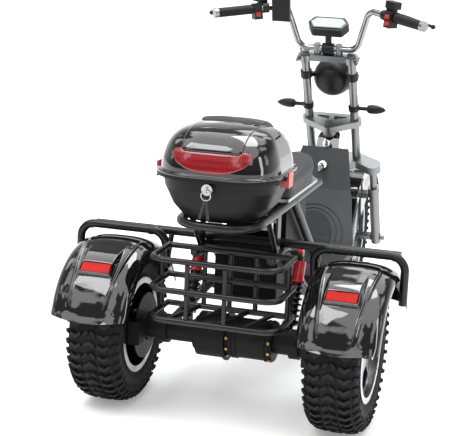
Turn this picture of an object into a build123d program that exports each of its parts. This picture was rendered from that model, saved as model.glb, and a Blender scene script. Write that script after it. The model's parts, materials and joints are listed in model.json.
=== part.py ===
"""A motorized trike: fat knobby rear wheels on a motor axle, a raked front fork, a long saddle,
a cargo basket and a hard top case on a rack.

Millimetres.  X is to the rider's right, Y is forward, Z is up, and Z = 0 is the floor.
Y is counted from the rear axle while the pieces are made; ORIGIN_Y then moves everything so that
the origin lies under the middle of the trike's length.
"""
import math
import os

from build123d import *

os.makedirs("parts", exist_ok=True)

# ---------------------------------------------------------------- driving dimensions
# wheels
REAR_TYRE_R = 228.0
REAR_TYRE_W = 204.0
REAR_BEAD_R = 127.0
REAR_RIM_W = 140.0
REAR_TRACK_HALF = 342.0
REAR_LUG_H = 9.0
REAR_PITCHES = 18
TYRE_SIDES = 32
FRONT_LUG_H = 6.0
FRONT_PITCHES = 18
FRONT_TYRE_R = 240.0
FRONT_TYRE_W = 190.0
FRONT_BEAD_R = 152.0
FRONT_RIM_W = 140.0
RIM_WALL = 5.0
RIM_LIP_H = 12.0
RIM_LIP_W = 7.0
HUB_R = 42.0
SPOKES = 5
BEAD_GAP = 0.2
SHAFT_R = 14.7

# steering geometry: the head point is where the steering axis leaves the top of the stem clamp
RAKE = 26.7
HEAD_Y = 1125.0
HEAD_Z = FRONT_TYRE_R + 443.0
FORK_TUBE_X = 82.0
FORK_TUBE_AHEAD = 46.0
FORK_TUBE_R = 15.0
FORK_LEG_X = 148.0
FORK_LEG_AHEAD = 12.0
FORK_TUBE_TOP = 264.0
BRIDGE_LOW_TOP = -166.0
BRIDGE_LOW_T = 30.0
FENDER_STAY_UP = -306.0
CLAMP_T = 24.0
HEAD_TUBE_R = 25.0
STEM_R = 12.0
STEM_GAP = 0.3
STEER_CLEAR = 6.0

# frame, deck and saddle
FLOOR_Z = 300.0
DECK_HALF_LOW = 165.0
RAIL_R = 15.0
SEAT_H = 62.0
SEAT_HALF = 132.0
SEAT_FRONT_Y = 560.0

# rear axle
AXLE_TUBE_R = 33.0
DIFF_R = 64.0
MOTOR_R = 57.0
HUB_FACE_X = 262.0

# fenders, guard bars, basket
FENDER_R = 250.0
FENDER_T = 4.0
FENDER_IN_X = 238.0
FENDER_OUT_X = 470.0
HOOP_R = 12.0
HOOP_IN_X = 222.0
HOOP_OUT_X = 482.0
HOOP_Y = 45.0
HOOP_TOP_Z = 503.0
BASKET_HALF = 184.0
BASKET_FRONT_Y = -20.0
BASKET_BACK_Y = -192.0
BASKET_TOP_Z = 482.0
BASKET_LOW_Z = 312.0
BASKET_TUBE_R = 8.5

# top case
CASE_HALF = 176.0
CASE_FRONT_Y = 92.0
CASE_BACK_Y = -270.0
CASE_RIM_Z = 729.0
CASE_RIM_T = 7.5
CASE_CORNER = 122.0
CASE_WALL = 3.0

# ---------------------------------------------------------------- worked-out places
SIN, COS = math.sin(math.radians(RAKE)), math.cos(math.radians(RAKE))
STEER = Plane(origin=(0, HEAD_Y, HEAD_Z), x_dir=(1, 0, 0), z_dir=(0, -SIN, COS)).location
AXLE_DOWN = -(HEAD_Z + SIN * FORK_LEG_AHEAD - FRONT_TYRE_R) / COS
FRONT_AXLE_Y = HEAD_Y + COS * FORK_LEG_AHEAD - SIN * AXLE_DOWN
REAR_AXLE_Z = REAR_TYRE_R
KEY_REACH = 14.0
BACK_REACH = KEY_REACH - CASE_BACK_Y
FRONT_REACH = FRONT_AXLE_Y + FRONT_TYRE_R
ORIGIN_Y = (FRONT_REACH - BACK_REACH) / 2


def save(name, shape):
    """Write one node, moved to the origin of the finished trike."""
    moved = Pos(0, -ORIGIN_Y, 0) * shape
    export_step(moved, f"parts/{name}.step")


def both_sides(shape):
    """The shape and its mirror image across the trike's middle plane."""
    return Compound(children=[*shape.solids(), *mirror(shape, about=Plane.YZ).solids()])


def rod(start, end, radius):
    """A straight round bar between two points."""
    start, end = Vector(*start), Vector(*end)
    plane = Plane(origin=start, z_dir=end - start)
    return extrude(plane * Circle(radius), (end - start).length)


def bent_tube(points, radius, bend):
    """A round tube along straight runs with equal bends."""
    path = FilletPolyline(*points, radius=bend)
    return sweep(Plane(origin=path @ 0, z_dir=path % 0) * Circle(radius), path=path)


def turned(profile):
    """A profile of (radius, x) points turned about the X axis."""
    face = make_face(Polyline(*[(x, r, 0) for r, x in profile], close=True))
    return revolve(face, Axis.X)


def fused(pieces):
    """Several touching solids as one."""
    first, *rest = pieces
    return first.fuse(*rest).clean() if rest else first


# ---------------------------------------------------------------- wheels
def facet_ring(x, radius):
    """A many-sided outline square to the X axis, with its corners at radius."""
    corners = [(radius * math.cos(a), radius * math.sin(a)) for a in (2 * math.pi * k / TYRE_SIDES for k in range(TYRE_SIDES))]
    return Plane(origin=(x, 0, 0), x_dir=(0, 1, 0), z_dir=(1, 0, 0)) * make_face(Polyline(*corners, close=True))


def tyre(radius, width, bead_r, rim_w, lug, pitches):
    """A fat tubeless tyre with flat facets and hollowed side walls. Its staggered lugs run from the middle over the shoulders."""
    crown = radius - lug
    half, seat = width / 2, rim_w / 2 - RIM_LIP_W - BEAD_GAP
    lip_r = bead_r + RIM_LIP_H + 1.5
    flat_x, edge_x, edge_r = 0.42 * half, 0.84 * half, crown - 0.11 * half
    across_x = [(-half, edge_r - 24), (-edge_x, edge_r), (-flat_x, crown), (flat_x, crown), (edge_x, edge_r), (half, edge_r - 24)]
    body = loft([facet_ring(x, r) for x, r in across_x], ruled=True)
    hollow = loft([facet_ring(x, r) for x, r in ((seat, lip_r), (half - 9, lip_r + 9), (half + 0.2, lip_r + 0.6 * (edge_r - 24 - lip_r)))], ruled=True)
    body = body - hollow - mirror(hollow, about=Plane.YZ) - Plane.YZ * extrude(Circle(bead_r), width, both=True)
    sink, step = 5.0, 2 * math.pi * crown / pitches
    long, lead, tilt = 0.36 * step, 0.42 * step, 4.3
    arm = Polyline((0, 0), (edge_x + 4, lead), (edge_x + 4, lead + long), (0, long), close=True)
    lugs = []
    for k in range(pitches):
        for s in (-1, 1):
            face = make_face(arm) if s > 0 else mirror(make_face(arm), about=Plane.YZ)
            turn = Rot(360 * (k + s * 0.25) / pitches, 0, 0)
            lugs.append(turn * Pos(s * 2, 0, crown) * Rot(0, s * tilt, 0) * Pos(0, -long, -sink) * extrude(face, sink + lug))
    return body.fuse(*[piece for lug_ in lugs for piece in lug_.solids()])


def rim(bead_r, rim_w):
    """A cast rim: a barrel with two lips and a spoked disc round the hub."""
    half, seat = rim_w / 2, bead_r - BEAD_GAP
    barrel = turned([
        (seat, -half + RIM_LIP_W), (seat, half - RIM_LIP_W),
        (seat + RIM_LIP_H, half - RIM_LIP_W), (seat + RIM_LIP_H, half),
        (seat - RIM_WALL, half), (seat - RIM_WALL, -half),
        (seat + RIM_LIP_H, -half), (seat + RIM_LIP_H, -half + RIM_LIP_W),
    ])
    disc_x = half - 42
    disc = Plane.YZ * Pos(0, 0, disc_x) * extrude(Circle(seat - RIM_WALL + 1) - Circle(HUB_R - 4), 22)
    windows = [
        Plane.YZ * Pos(0, 0, disc_x - 5) * Rot(0, 0, 360 * k / SPOKES)
        * extrude(spoke_window(seat - RIM_WALL), 32) for k in range(SPOKES)
    ]
    for window in windows:
        disc = disc - window
    hub = Plane.YZ * Pos(0, 0, -half + 20) * extrude(Circle(HUB_R) - Circle(15), rim_w - 40)
    return fused([barrel, disc, hub])


def spoke_window(outer_r):
    """The opening between two spokes: a rounded wedge."""
    inner, outer, spread = HUB_R + 14, outer_r - 12, math.radians(360 / SPOKES / 2 - 13)
    corners = [(r * math.cos(a), r * math.sin(a)) for r, a in (
        (inner, -spread * 0.8), (outer, -spread), (outer + 6, 0), (outer, spread), (inner, spread * 0.8))]
    return fillet(make_face(Polyline(*corners, close=True)).vertices(), 7)


REAR_TYRE = tyre(REAR_TYRE_R, REAR_TYRE_W, REAR_BEAD_R, REAR_RIM_W, REAR_LUG_H, REAR_PITCHES)


def rear_wheel(side):
    """Tyre, rim and brake disc of one rear wheel, with the spoked face outwards."""
    place = Pos(side * REAR_TRACK_HALF, 0, REAR_AXLE_Z) * (Rot(0, 0, 0) if side > 0 else Rot(0, 0, 180))
    disc_x = -REAR_RIM_W / 2 - 16
    disc = Plane.YZ * Pos(0, 0, disc_x) * extrude(Circle(95) - Circle(15), 4)
    carrier = Plane.YZ * Pos(0, 0, disc_x + 4) * extrude(Circle(36) - Circle(15), 32)
    return (
        place * REAR_TYRE,
        place * rim(REAR_BEAD_R, REAR_RIM_W),
        place * fused([disc, carrier]),
    )


for side, word in ((-1, "left"), (1, "right")):
    rubber, metal, brake = rear_wheel(side)
    save(f"rear_tyre_{word}", rubber)
    save(f"rear_rim_{word}", metal)
    save(f"rear_disc_{word}", brake)

front_place = Pos(0, FRONT_AXLE_Y, FRONT_TYRE_R)
save("front_tyre", front_place * tyre(FRONT_TYRE_R, FRONT_TYRE_W, FRONT_BEAD_R, FRONT_RIM_W, FRONT_LUG_H, FRONT_PITCHES))
save("front_rim", front_place * rim(FRONT_BEAD_R, FRONT_RIM_W))
front_disc = Plane.YZ * Pos(0, 0, -FRONT_RIM_W / 2 - 14) * extrude(Circle(88) - Circle(15), 4)
front_carrier = Plane.YZ * Pos(0, 0, -FRONT_RIM_W / 2 - 10) * extrude(Circle(36) - Circle(15), 30)
save("front_disc", front_place * fused([front_disc, front_carrier]))


# ---------------------------------------------------------------- fork and handlebar
def steer_at(x, ahead, up):
    """A point given beside, ahead of and along the steering axis."""
    return Vector(x, HEAD_Y + COS * ahead - SIN * up, HEAD_Z + SIN * ahead + COS * up)


def fork_tubes():
    """The two upper tubes, from the top clamp down into the low bridge."""
    low = BRIDGE_LOW_TOP - BRIDGE_LOW_T + 4
    one = STEER * Pos(FORK_TUBE_X, FORK_TUBE_AHEAD, low) * extrude(Circle(FORK_TUBE_R), FORK_TUBE_TOP - low)
    return both_sides(one)


def tube_bores(low, high):
    """Seats for the two upper tubes, cut a hair wider than the tubes."""
    bore = Pos(FORK_TUBE_X, FORK_TUBE_AHEAD, low) * extrude(Circle(FORK_TUBE_R + 0.05), high - low)
    return bore + mirror(bore, about=Plane.YZ)


def clamp_outline(centre_r, boss_r):
    """Plan of a clamp: two tube bosses tied to a boss on the steering axis."""
    bosses = [Pos(s * FORK_TUBE_X, FORK_TUBE_AHEAD) * Circle(boss_r) for s in (-1, 1)]
    web = make_hull([*bosses[0].edges(), *bosses[1].edges()]) + make_hull(
        [*bosses[0].edges(), *Circle(centre_r).edges()]) + make_hull([*bosses[1].edges(), *Circle(centre_r).edges()])
    return web


def mid_clamp():
    """Cast clamp over the head tube, with two windows beside its middle rib, and the stem nut."""
    plate = Pos(0, 0, -CLAMP_T) * extrude(clamp_outline(24, 24), CLAMP_T)
    window = make_face(Polyline((9, 30), (52, 46), (52, 52), (9, 52), close=True))
    for s in (-1, 1):
        cut = window if s > 0 else mirror(window, about=Plane.YZ)
        plate -= Pos(0, 0, -CLAMP_T - 1) * extrude(cut, CLAMP_T + 2)
    boss = Pos(0, 0, -CLAMP_T - 16) * extrude(Circle(24), 20)
    nut = extrude(RegularPolygon(15, 6), 9)
    stem = Pos(0, 0, BRIDGE_LOW_TOP - 5) * extrude(Circle(STEM_R), -BRIDGE_LOW_TOP + 6)
    body = fused([plate, boss, nut, stem]) - tube_bores(-CLAMP_T - 1, 1)
    return STEER * body


def low_bridge():
    """Cast bridge that holds the tubes and, on bone-shaped ends, the outer legs."""
    middle = make_hull([*(Pos(-FORK_TUBE_X, FORK_TUBE_AHEAD) * Circle(27)).edges(),
                        *(Pos(FORK_TUBE_X, FORK_TUBE_AHEAD) * Circle(27)).edges(), *Circle(26).edges()])
    plan = middle
    for s in (-1, 1):
        leg_boss = Pos(s * FORK_LEG_X, FORK_LEG_AHEAD) * Circle(28)
        tube_boss = Pos(s * FORK_TUBE_X, FORK_TUBE_AHEAD) * Circle(25)
        waist = make_hull([*leg_boss.edges(), *tube_boss.edges()])
        plan = plan + waist + leg_boss
    plate = Pos(0, 0, BRIDGE_LOW_TOP - BRIDGE_LOW_T) * extrude(plan, BRIDGE_LOW_T)
    plate -= tube_bores(BRIDGE_LOW_TOP - BRIDGE_LOW_T + 4, BRIDGE_LOW_TOP + 1)
    plate -= Pos(0, 0, BRIDGE_LOW_TOP - 5.1) * extrude(Circle(STEM_R + 0.05), 6)
    return STEER * plate


def top_clamp():
    """Cast clamp at the top of the tubes, with the two posts that hold the handlebar."""
    low = FORK_TUBE_TOP - 6 - CLAMP_T
    bosses = [Pos(s * FORK_TUBE_X, FORK_TUBE_AHEAD) * Circle(23) for s in (-1, 1)]
    bar = Pos(0, FORK_TUBE_AHEAD + 4) * Rectangle(2 * FORK_TUBE_X, 26)
    plate = Pos(0, 0, low) * extrude(bosses[0] + bosses[1] + bar, CLAMP_T)
    bolts = [Pos(s * (FORK_TUBE_X + 21), FORK_TUBE_AHEAD - 8, low + 12) * Rot(90, 0, 0) * extrude(Circle(6), 20, both=True)
             for s in (-1, 1)]
    posts = []
    for s in (-1, 1):
        post = Pos(s * 38, BAR_AHEAD, low + 2) * extrude(Circle(12), BAR_UP + 14 - low)
        posts.append(post)
    body = fused([plate, *bolts, *posts]) - tube_bores(low - 1, low + CLAMP_T + 1)
    body = STEER * body
    return body - rod((-70, *BAR_LOW), (70, *BAR_LOW), BAR_R + 0.05)


BAR_R = 11.0
BAR_AHEAD = 55.0
BAR_UP = 278.0
BAR_LOW_X, BAR_HIGH_X, BAR_END_X = 100.0, 143.0, 345.0
BAR_LOW = tuple(steer_at(0, BAR_AHEAD, BAR_UP))[1:]
BAR_HIGH = (HEAD_Y - 115, HEAD_Z + 413)
BAR_END = (HEAD_Y - 253, HEAD_Z + 385)
BAR_BEND = 38.0


def handlebar():
    """High swept-back bar: a low middle, two risers and two grips' ends."""
    right = [(BAR_LOW_X, *BAR_LOW), (BAR_HIGH_X, *BAR_HIGH), (BAR_END_X, *BAR_END)]
    left = [(-x, y, z) for x, y, z in reversed(right)]
    return bent_tube(left + right, BAR_R, BAR_BEND)


GRIP_DIR = (Vector(BAR_END_X, *BAR_END) - Vector(BAR_HIGH_X, *BAR_HIGH)).normalized()
BAR_TIP = Vector(BAR_END_X, *BAR_END)


def on_grip(back_from_tip):
    """A point on the right grip's axis, counted inwards from the bar's tip."""
    return BAR_TIP - GRIP_DIR * back_from_tip


GRIP_PLANE = Plane(origin=BAR_TIP, x_dir=GRIP_DIR, z_dir=(Vector(0, 0, 1) - GRIP_DIR * GRIP_DIR.Z).normalized())


def grips():
    """Ribbed rubber grips with bar-end caps."""
    grip = rod(on_grip(118), on_grip(2), 16) - rod(on_grip(120), on_grip(-1), BAR_R + 0.1)
    return both_sides(grip)


def bar_ends():
    """Metal caps on the bar's ends."""
    cap = rod(on_grip(-0.2), on_grip(-14), 17)
    return both_sides(cap)


def brake_levers():
    """A clamp, a fluid reservoir and a long blade with a ball end, on each side."""
    g = GRIP_PLANE.location
    clamp = rod(on_grip(178), on_grip(158), 17) - rod(on_grip(179), on_grip(157), BAR_R + 0.1)
    body = g * Pos(-166, 24, 12) * Box(30, 24, 26)
    reservoir = g * Pos(-160, 22, 36) * Box(46, 30, 24)
    blade_path = FilletPolyline((-160, 34, 8), (-120, 52, 4), (8, 44, -2), radius=40)
    blade = g * sweep(Plane(origin=blade_path @ 0, z_dir=blade_path % 0) * Circle(5), path=blade_path)
    ball = g * Pos(10, 44, -2) * Sphere(8)
    return both_sides(fused([clamp, body, reservoir, blade, ball]))


def bar_switches():
    """Switch pods beside the grips."""
    g = GRIP_PLANE.location
    pod = g * Pos(-136, -4, -8) * Box(28, 38, 52)
    pod -= rod(on_grip(155), on_grip(100), BAR_R + 0.1)
    return both_sides(pod)


def phone_holder():
    """A padded phone clamp beside the left brake lever."""
    y, z = BAR_HIGH
    plate = Pos(-150, y - 52, z + 9) * Rot(12, 0, 0) * Box(62, 14, 120)
    arm = rod((-150, y - 48, z + 9), (-150, y - 7, z), 8)
    ring = rod(on_grip(232), on_grip(216), 17) - rod(on_grip(234), on_grip(214), BAR_R + 0.1)
    ring = mirror(ring, about=Plane.YZ)
    return fused([plate, arm, ring]) - handlebar()


def dash():
    """A six-sided display on a stalk over the handlebar's middle."""
    face = Pos(0, BAR_LOW[0] - 19, BAR_LOW[1] + 84) * Rot(35, 0, 0)
    outline = fillet(make_face(Polyline((-72, 4), (-52, 34), (52, 34), (72, 4), (52, -34), (-52, -34), close=True)).vertices(), 12)
    shell = face * Pos(0, 0, -26) * extrude(outline, 30)
    stalk = rod((0, BAR_LOW[0] - 13, BAR_LOW[1] + 68), (0, BAR_LOW[0], BAR_LOW[1] + 10), 11)
    collar = rod((-20, *BAR_LOW), (20, *BAR_LOW), BAR_R + 8) - rod((-21, *BAR_LOW), (21, *BAR_LOW), BAR_R + 0.05)
    return fused([shell, stalk, collar]) - rod((-21, *BAR_LOW), (21, *BAR_LOW), BAR_R + 0.05)


SIGNAL_RISE = 62.0
LAMP_Y, LAMP_Z, LAMP_R = HEAD_Y + 25, HEAD_Z + 167, 68.0


def headlight():
    """A bowl on two ears bolted to the fork tubes."""
    facing = Rot(-90, 0, 0)
    shell = Pos(0, LAMP_Y, LAMP_Z) * (Sphere(LAMP_R) + facing * Cylinder(LAMP_R, 52, align=(Align.CENTER, Align.CENTER, Align.MIN)))
    ring_up = (LAMP_Z - HEAD_Z) / COS - 8
    pieces = [shell]
    for s in (-1, 1):
        pieces.append(STEER * Pos(s * FORK_TUBE_X, FORK_TUBE_AHEAD, ring_up - 15) * extrude(Circle(FORK_TUBE_R + 5), 26))
        tube_y = HEAD_Y + COS * FORK_TUBE_AHEAD - SIN * ring_up
        pieces.append(Pos(s * (LAMP_R + 9), (tube_y + LAMP_Y + 20) / 2, LAMP_Z + 4) * Box(22, LAMP_Y + 20 - tube_y, 14))
    lamp = fused(pieces)
    lamp -= Pos(0, LAMP_Y, LAMP_Z) * facing * Cylinder(LAMP_R - 4, 53, align=(Align.CENTER, Align.CENTER, Align.MIN))
    lamp -= Pos(0, LAMP_Y, LAMP_Z) * Sphere(LAMP_R - 4)
    lamp -= Pos(0, LAMP_Y + 52, LAMP_Z) * facing * Cylinder(LAMP_R + 5, 30, align=(Align.CENTER, Align.CENTER, Align.MIN))
    for s in (-1, 1):
        lamp -= STEER * Pos(s * FORK_TUBE_X, FORK_TUBE_AHEAD, ring_up - 80) * extrude(Circle(FORK_TUBE_R + 0.05), 160)
    return lamp


def headlight_lens():
    """The glass in front of the lamp."""
    glass = Rot(-90, 0, 0) * Cylinder(LAMP_R - 4.1, 8, align=(Align.CENTER, Align.CENTER, Align.MIN))
    return Pos(0, LAMP_Y + 42, LAMP_Z) * glass


def turn_signals():
    """Arrow-shaped indicators on stalks clamped to the fork tubes."""
    up = (SIGNAL_RISE - SIN * FORK_TUBE_AHEAD) / COS
    ring = STEER * Pos(FORK_TUBE_X, FORK_TUBE_AHEAD, up - 8) * extrude(
        Circle(FORK_TUBE_R + 5) - Circle(FORK_TUBE_R + 0.05), 16)
    centre = steer_at(FORK_TUBE_X, FORK_TUBE_AHEAD, up)
    stalk = rod((centre.X + 17, centre.Y, centre.Z), (centre.X + 52, centre.Y, centre.Z), 7)
    outline = make_face(Polyline((0, -13), (-6, 13), (52, 12), (72, 0), (50, -12), close=True))
    head = Pos(centre.X + 46, centre.Y - 15, centre.Z) * Rot(90, 0, 0) * extrude(fillet(outline.vertices(), 4), -32)
    return both_sides(fused([ring, stalk, head]))


def fork_legs():
    """Outer telescopic legs with a lug at the axle, and the axle's nuts."""
    top = BRIDGE_LOW_TOP - BRIDGE_LOW_T
    rod_part = Pos(FORK_LEG_X, FORK_LEG_AHEAD, top - 90) * extrude(Circle(12), 90)
    slider = Pos(FORK_LEG_X, FORK_LEG_AHEAD, AXLE_DOWN - 22) * extrude(Circle(18), top - 78 - AXLE_DOWN + 22)
    collar = Pos(FORK_LEG_X, FORK_LEG_AHEAD, top - 96) * extrude(Circle(21), 22)
    leg = STEER * fused([rod_part, slider, collar])
    return both_sides(leg)


def front_axle():
    """The wheel spindle through both legs, with its nuts."""
    reach, inner = FORK_LEG_X + 18, FORK_LEG_X - 18
    spindle = rod((-inner, FRONT_AXLE_Y, FRONT_TYRE_R), (inner, FRONT_AXLE_Y, FRONT_TYRE_R), SHAFT_R)
    nut = rod((reach, FRONT_AXLE_Y, FRONT_TYRE_R), (reach + 14, FRONT_AXLE_Y, FRONT_TYRE_R), 11)
    return Compound(children=[*spindle.solids(), *both_sides(nut).solids()])


def front_fender():
    """A mudguard over the front tyre, carried by two stays on the legs."""
    ring = Plane.YZ * (Circle(FRONT_TYRE_R + 24) - Circle(FRONT_TYRE_R + 20))
    hoop = Pos(-FRONT_TYRE_W / 2 - 12, 0, 0) * extrude(ring, FRONT_TYRE_W + 24)
    inner = Plane.YZ * (Circle(FRONT_TYRE_R + 22) - Circle(FRONT_TYRE_R - 12))
    lips = []
    for s in (-1, 1):
        x = s * (FRONT_TYRE_W / 2 + 11) - 1.5
        lips.append(Pos(x, 0, 0) * extrude(inner, 3))
    guard = fused([hoop, *lips])
    sector = extrude(Plane.YZ * make_face(Polyline(
        (0, 0), (-500, 170), (-500, 500), (250, 500), (300, 252), close=True)), 400, both=True)
    guard = Pos(0, FRONT_AXLE_Y, FRONT_TYRE_R) * (guard & sector)
    stays = []
    for s in (-1, 1):
        side_x, leg_x = FRONT_TYRE_W / 2 + 12, FORK_LEG_X - 18.2
        low, high = FENDER_STAY_UP - 11, AXLE_DOWN + FRONT_TYRE_R + 14
        stays.append(STEER * Pos(s * (side_x + 2), FORK_LEG_AHEAD, (low + high) / 2) * Box(4.5, 30, high - low))
        stays.append(STEER * Pos(s * (side_x + leg_x) / 2, FORK_LEG_AHEAD, FENDER_STAY_UP) * Box(leg_x - side_x, 22, 22))
    return fused([guard, *stays])


def front_caliper():
    """Brake caliper over the front disc, on an arm from the left leg."""
    clear, disc_x, disc_t = 5.0, -FRONT_RIM_W / 2 - 14, 4.0
    behind, up = FORK_LEG_AHEAD - CALIPER_BEHIND, AXLE_DOWN + CALIPER_UP
    block = Pos(disc_x + 2, behind, up) * Box(44, 52, 60)
    block = chamfer(block.edges().filter_by(Axis.X), 7)
    slot = Pos(disc_x + 2, behind + 20, up) * Box(disc_t + 2 * clear, 80, 80)
    leg_x = -FORK_LEG_X + 18.2
    arm = Pos((leg_x + disc_x - 20) / 2, behind + 36, up) * Box(disc_x - 20 - leg_x, 92, 24)
    return STEER * fused([block - slot, arm])


def front_brake_hose():
    """The hose from the left brake lever, down in front of the fork tube, to the caliper."""
    tip = GRIP_PLANE.location
    start = [(tip * Pos(*p)).position for p in ((-181.2, 24, 8), (-232, 46, 2))]
    points = [(-p.X, p.Y, p.Z) for p in start]
    points.append((-128, BAR_LOW[0] + 36, BAR_LOW[1] + 64))
    points += [tuple(steer_at(x, ahead, up)) for x, ahead, up in (
        (-101, 88, 205), (-101, 88, BRIDGE_LOW_TOP - 20), (-118, 48, BRIDGE_LOW_TOP - 84), (-117, 40, BRIDGE_LOW_TOP - 178),
        (-115, -34, AXLE_DOWN + 108), (-FRONT_RIM_W / 2 - 27, FORK_LEG_AHEAD - CALIPER_BEHIND, AXLE_DOWN + CALIPER_UP + 62),
        (-FRONT_RIM_W / 2 - 27, FORK_LEG_AHEAD - CALIPER_BEHIND, AXLE_DOWN + CALIPER_UP + 30.1))]
    path = FilletPolyline(*points, radius=15)
    return sweep(Plane(origin=path @ 0, z_dir=path % 0) * Circle(3), path=path)


CALIPER_BEHIND, CALIPER_UP = 74.0, 40.0

save("fork_tubes", fork_tubes())
save("mid_clamp", mid_clamp())
save("low_bridge", low_bridge())
save("top_clamp", top_clamp())
save("fork_legs", fork_legs())
save("front_axle", front_axle())
save("front_fender", front_fender())
save("handlebar", handlebar())
save("grips", grips())
save("bar_ends", bar_ends())
save("brake_levers", brake_levers())
save("bar_switches", bar_switches())
save("phone_holder", phone_holder())
save("dash", dash())
save("headlight", headlight())
save("headlight_lens", headlight_lens())
save("turn_signals", turn_signals())
save("front_caliper", front_caliper())
save("front_brake_hose", front_brake_hose())


# ---------------------------------------------------------------- frame
FRAME_X = 112.0
FRONT_CROSS = (885.0, 262.0)
KNEE = (430.0, 262.0)
CROSS_BAR = (110.0, 490.0)
CROSS_BAR_R = 12.5
MID_RAIL_Z = CROSS_BAR[1] - CROSS_BAR_R - RAIL_R
REAR_RAIL_END_Y = 0.0
UPPER_Z = 592.0
UPPER_R = 12.0
SEAT_HINGE_Y = 530.0
RACK_BACK_Y = -214.0
RACK_BEND = 86.0
STRAP_Y = 60.0
SHOCK_TOP = (178.0, 446.0)
SHOCK_LOW = (72.0, 238.0)
SHOCK_X = REAR_TRACK_HALF - 199
DOWN_TOP, DOWN_KNEE, DOWN_R = (0, HEAD_Y + 41, HEAD_Z - 85), (0, HEAD_Y - 155, 256), 20.0
STRUT_TOP, STRUT_FOOT, STRUT_R = (222.0, UPPER_Z), (650.0, FRONT_CROSS[1]), 13.0


def frame():
    """Head tube, down tube, side rails, seat struts and the loop that carries saddle and case."""
    low, high = BRIDGE_LOW_TOP + 0.3, -CLAMP_T - 16.3
    bore = STEER * Pos(0, 0, low - 1) * extrude(Circle(STEM_R + STEM_GAP), high - low + 2)
    head = STEER * Pos(0, 0, low) * extrude(Circle(HEAD_TUBE_R), high - low)
    down = bent_tube([DOWN_TOP, DOWN_KNEE, (0, FRONT_CROSS[0], DOWN_KNEE[2])], DOWN_R, 50)
    loop = bent_tube([(-FRAME_X, SEAT_HINGE_Y, UPPER_Z), (-FRAME_X, RACK_BACK_Y, UPPER_Z),
                      (FRAME_X, RACK_BACK_Y, UPPER_Z), (FRAME_X, SEAT_HINGE_Y, UPPER_Z)], UPPER_R, RACK_BEND)
    pieces = [head, down, loop]
    # cross tubes: y, z, radius
    for y, z, r in ((*FRONT_CROSS, RAIL_R), (KNEE[0] - 16, KNEE[1] + 10, 13), (60, MID_RAIL_Z, 12),
                    (SEAT_HINGE_Y, UPPER_Z, UPPER_R), (190, UPPER_Z, 11), (-60, UPPER_Z, UPPER_R)):
        pieces.append(rod((-FRAME_X, y, z), (FRAME_X, y, z), r))
    for s in (-1, 1):
        x = s * FRAME_X
        pieces += [
            Pos(x, *FRONT_CROSS) * Sphere(RAIL_R),
            Pos(x, SEAT_HINGE_Y, UPPER_Z) * Sphere(UPPER_R),
            bent_tube([(x, *FRONT_CROSS), (x, *KNEE), (x, 150, MID_RAIL_Z), (x, REAR_RAIL_END_Y, MID_RAIL_Z)], RAIL_R, 60),
            rod((x, *STRUT_TOP), (x, *STRUT_FOOT), STRUT_R),
            Pos(x, STRAP_Y, (MID_RAIL_Z + UPPER_Z) / 2) * Box(6, 34, UPPER_Z - MID_RAIL_Z),
            rod((x, 48, MID_RAIL_Z + 8), (x, -60, UPPER_Z), 8),
            rod((x, SHOCK_TOP[0], SHOCK_TOP[1]), (s * (SHOCK_X + 18), SHOCK_TOP[0], SHOCK_TOP[1]), 8),
        ]
    return fused(pieces) - bore


save("frame", frame())


# ---------------------------------------------------------------- deck and covers
DECK_Z = 302.0
DECK_TOP_LINE = [(HEAD_Y - 33, HEAD_Z - 77), (HEAD_Y - 93, HEAD_Z - 213), (HEAD_Y - 209, HEAD_Z - 365), (HEAD_Y - 249, DECK_Z)]
DECK_UNDER = FRONT_CROSS[1] + RAIL_R + 0.3
SHIELD_T = 24.0
MAT_T = 4.0
DECK_BACK_Y = 480.0


def deck_prism(grow):
    """A tall prism whose plan tapers towards the head, for trimming the deck's sides."""
    right = [(DECK_HALF_LOW + grow - 20, DECK_BACK_Y), (DECK_HALF_LOW + grow, DECK_BACK_Y + 40), (DECK_HALF_LOW + grow, HEAD_Y - 255), (122 + grow, HEAD_Y - 115), (74 + grow, HEAD_Y - 15)]
    plan = make_face(Polyline(*right, *[(-x, y) for x, y in reversed(right)], close=True))
    return Pos(0, 0, 200) * extrude(plan, 500)


def shield_band(near, far):
    """The band between two offsets below the deck's top line, as a face in the YZ plane."""
    top = [(y + near * 0.84, z - near * 0.54) for y, z in DECK_TOP_LINE[:3]]
    low = [(y + far * 0.84, z - far * 0.54) for y, z in DECK_TOP_LINE[:3]]
    return top, low


def deck():
    """Footboard and leg shield in one moulding."""
    _, low = shield_band(0, SHIELD_T)
    corners = [*DECK_TOP_LINE, (DECK_BACK_Y, DECK_Z), (DECK_BACK_Y, DECK_UNDER), (FRONT_CROSS[0], DECK_UNDER), *reversed(low)]
    side = make_face(Polyline(*corners, close=True))
    body = (Plane.YZ * Pos(0, 0, -250) * extrude(side, 500)) & deck_prism(0)
    for s in (-1, 1):
        body -= rod((s * FRAME_X, *STRUT_TOP), (s * FRAME_X, *STRUT_FOOT), STRUT_R + 0.3)
    return body


def deck_mats():
    """Rubber mats: one on the floor and one up the leg shield."""
    plan = fillet(make_face(Polyline((-128, 630), (128, 630), (128, 850), (-128, 850), close=True)).vertices(), 40)
    floor_mat = Pos(0, 0, DECK_Z) * extrude(plan, MAT_T)
    (y1, z1), (y0, z0) = DECK_TOP_LINE[1], DECK_TOP_LINE[2]
    slope = Vector(0, y1 - y0, z1 - z0).normalized()
    plane = Plane(origin=(0, (y0 + y1) / 2, (z0 + z1) / 2), x_dir=(1, 0, 0), z_dir=(0, -slope.Z, slope.Y))
    length = math.hypot(y1 - y0, z1 - z0) - 24
    shape = fillet(make_face(Polyline((-104, -length / 2), (104, -length / 2), (84, length / 2), (-84, length / 2), close=True)).vertices(), 36)
    return Compound(children=[*floor_mat.solids(), *(plane.location * extrude(shape, MAT_T)).solids()])


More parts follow.
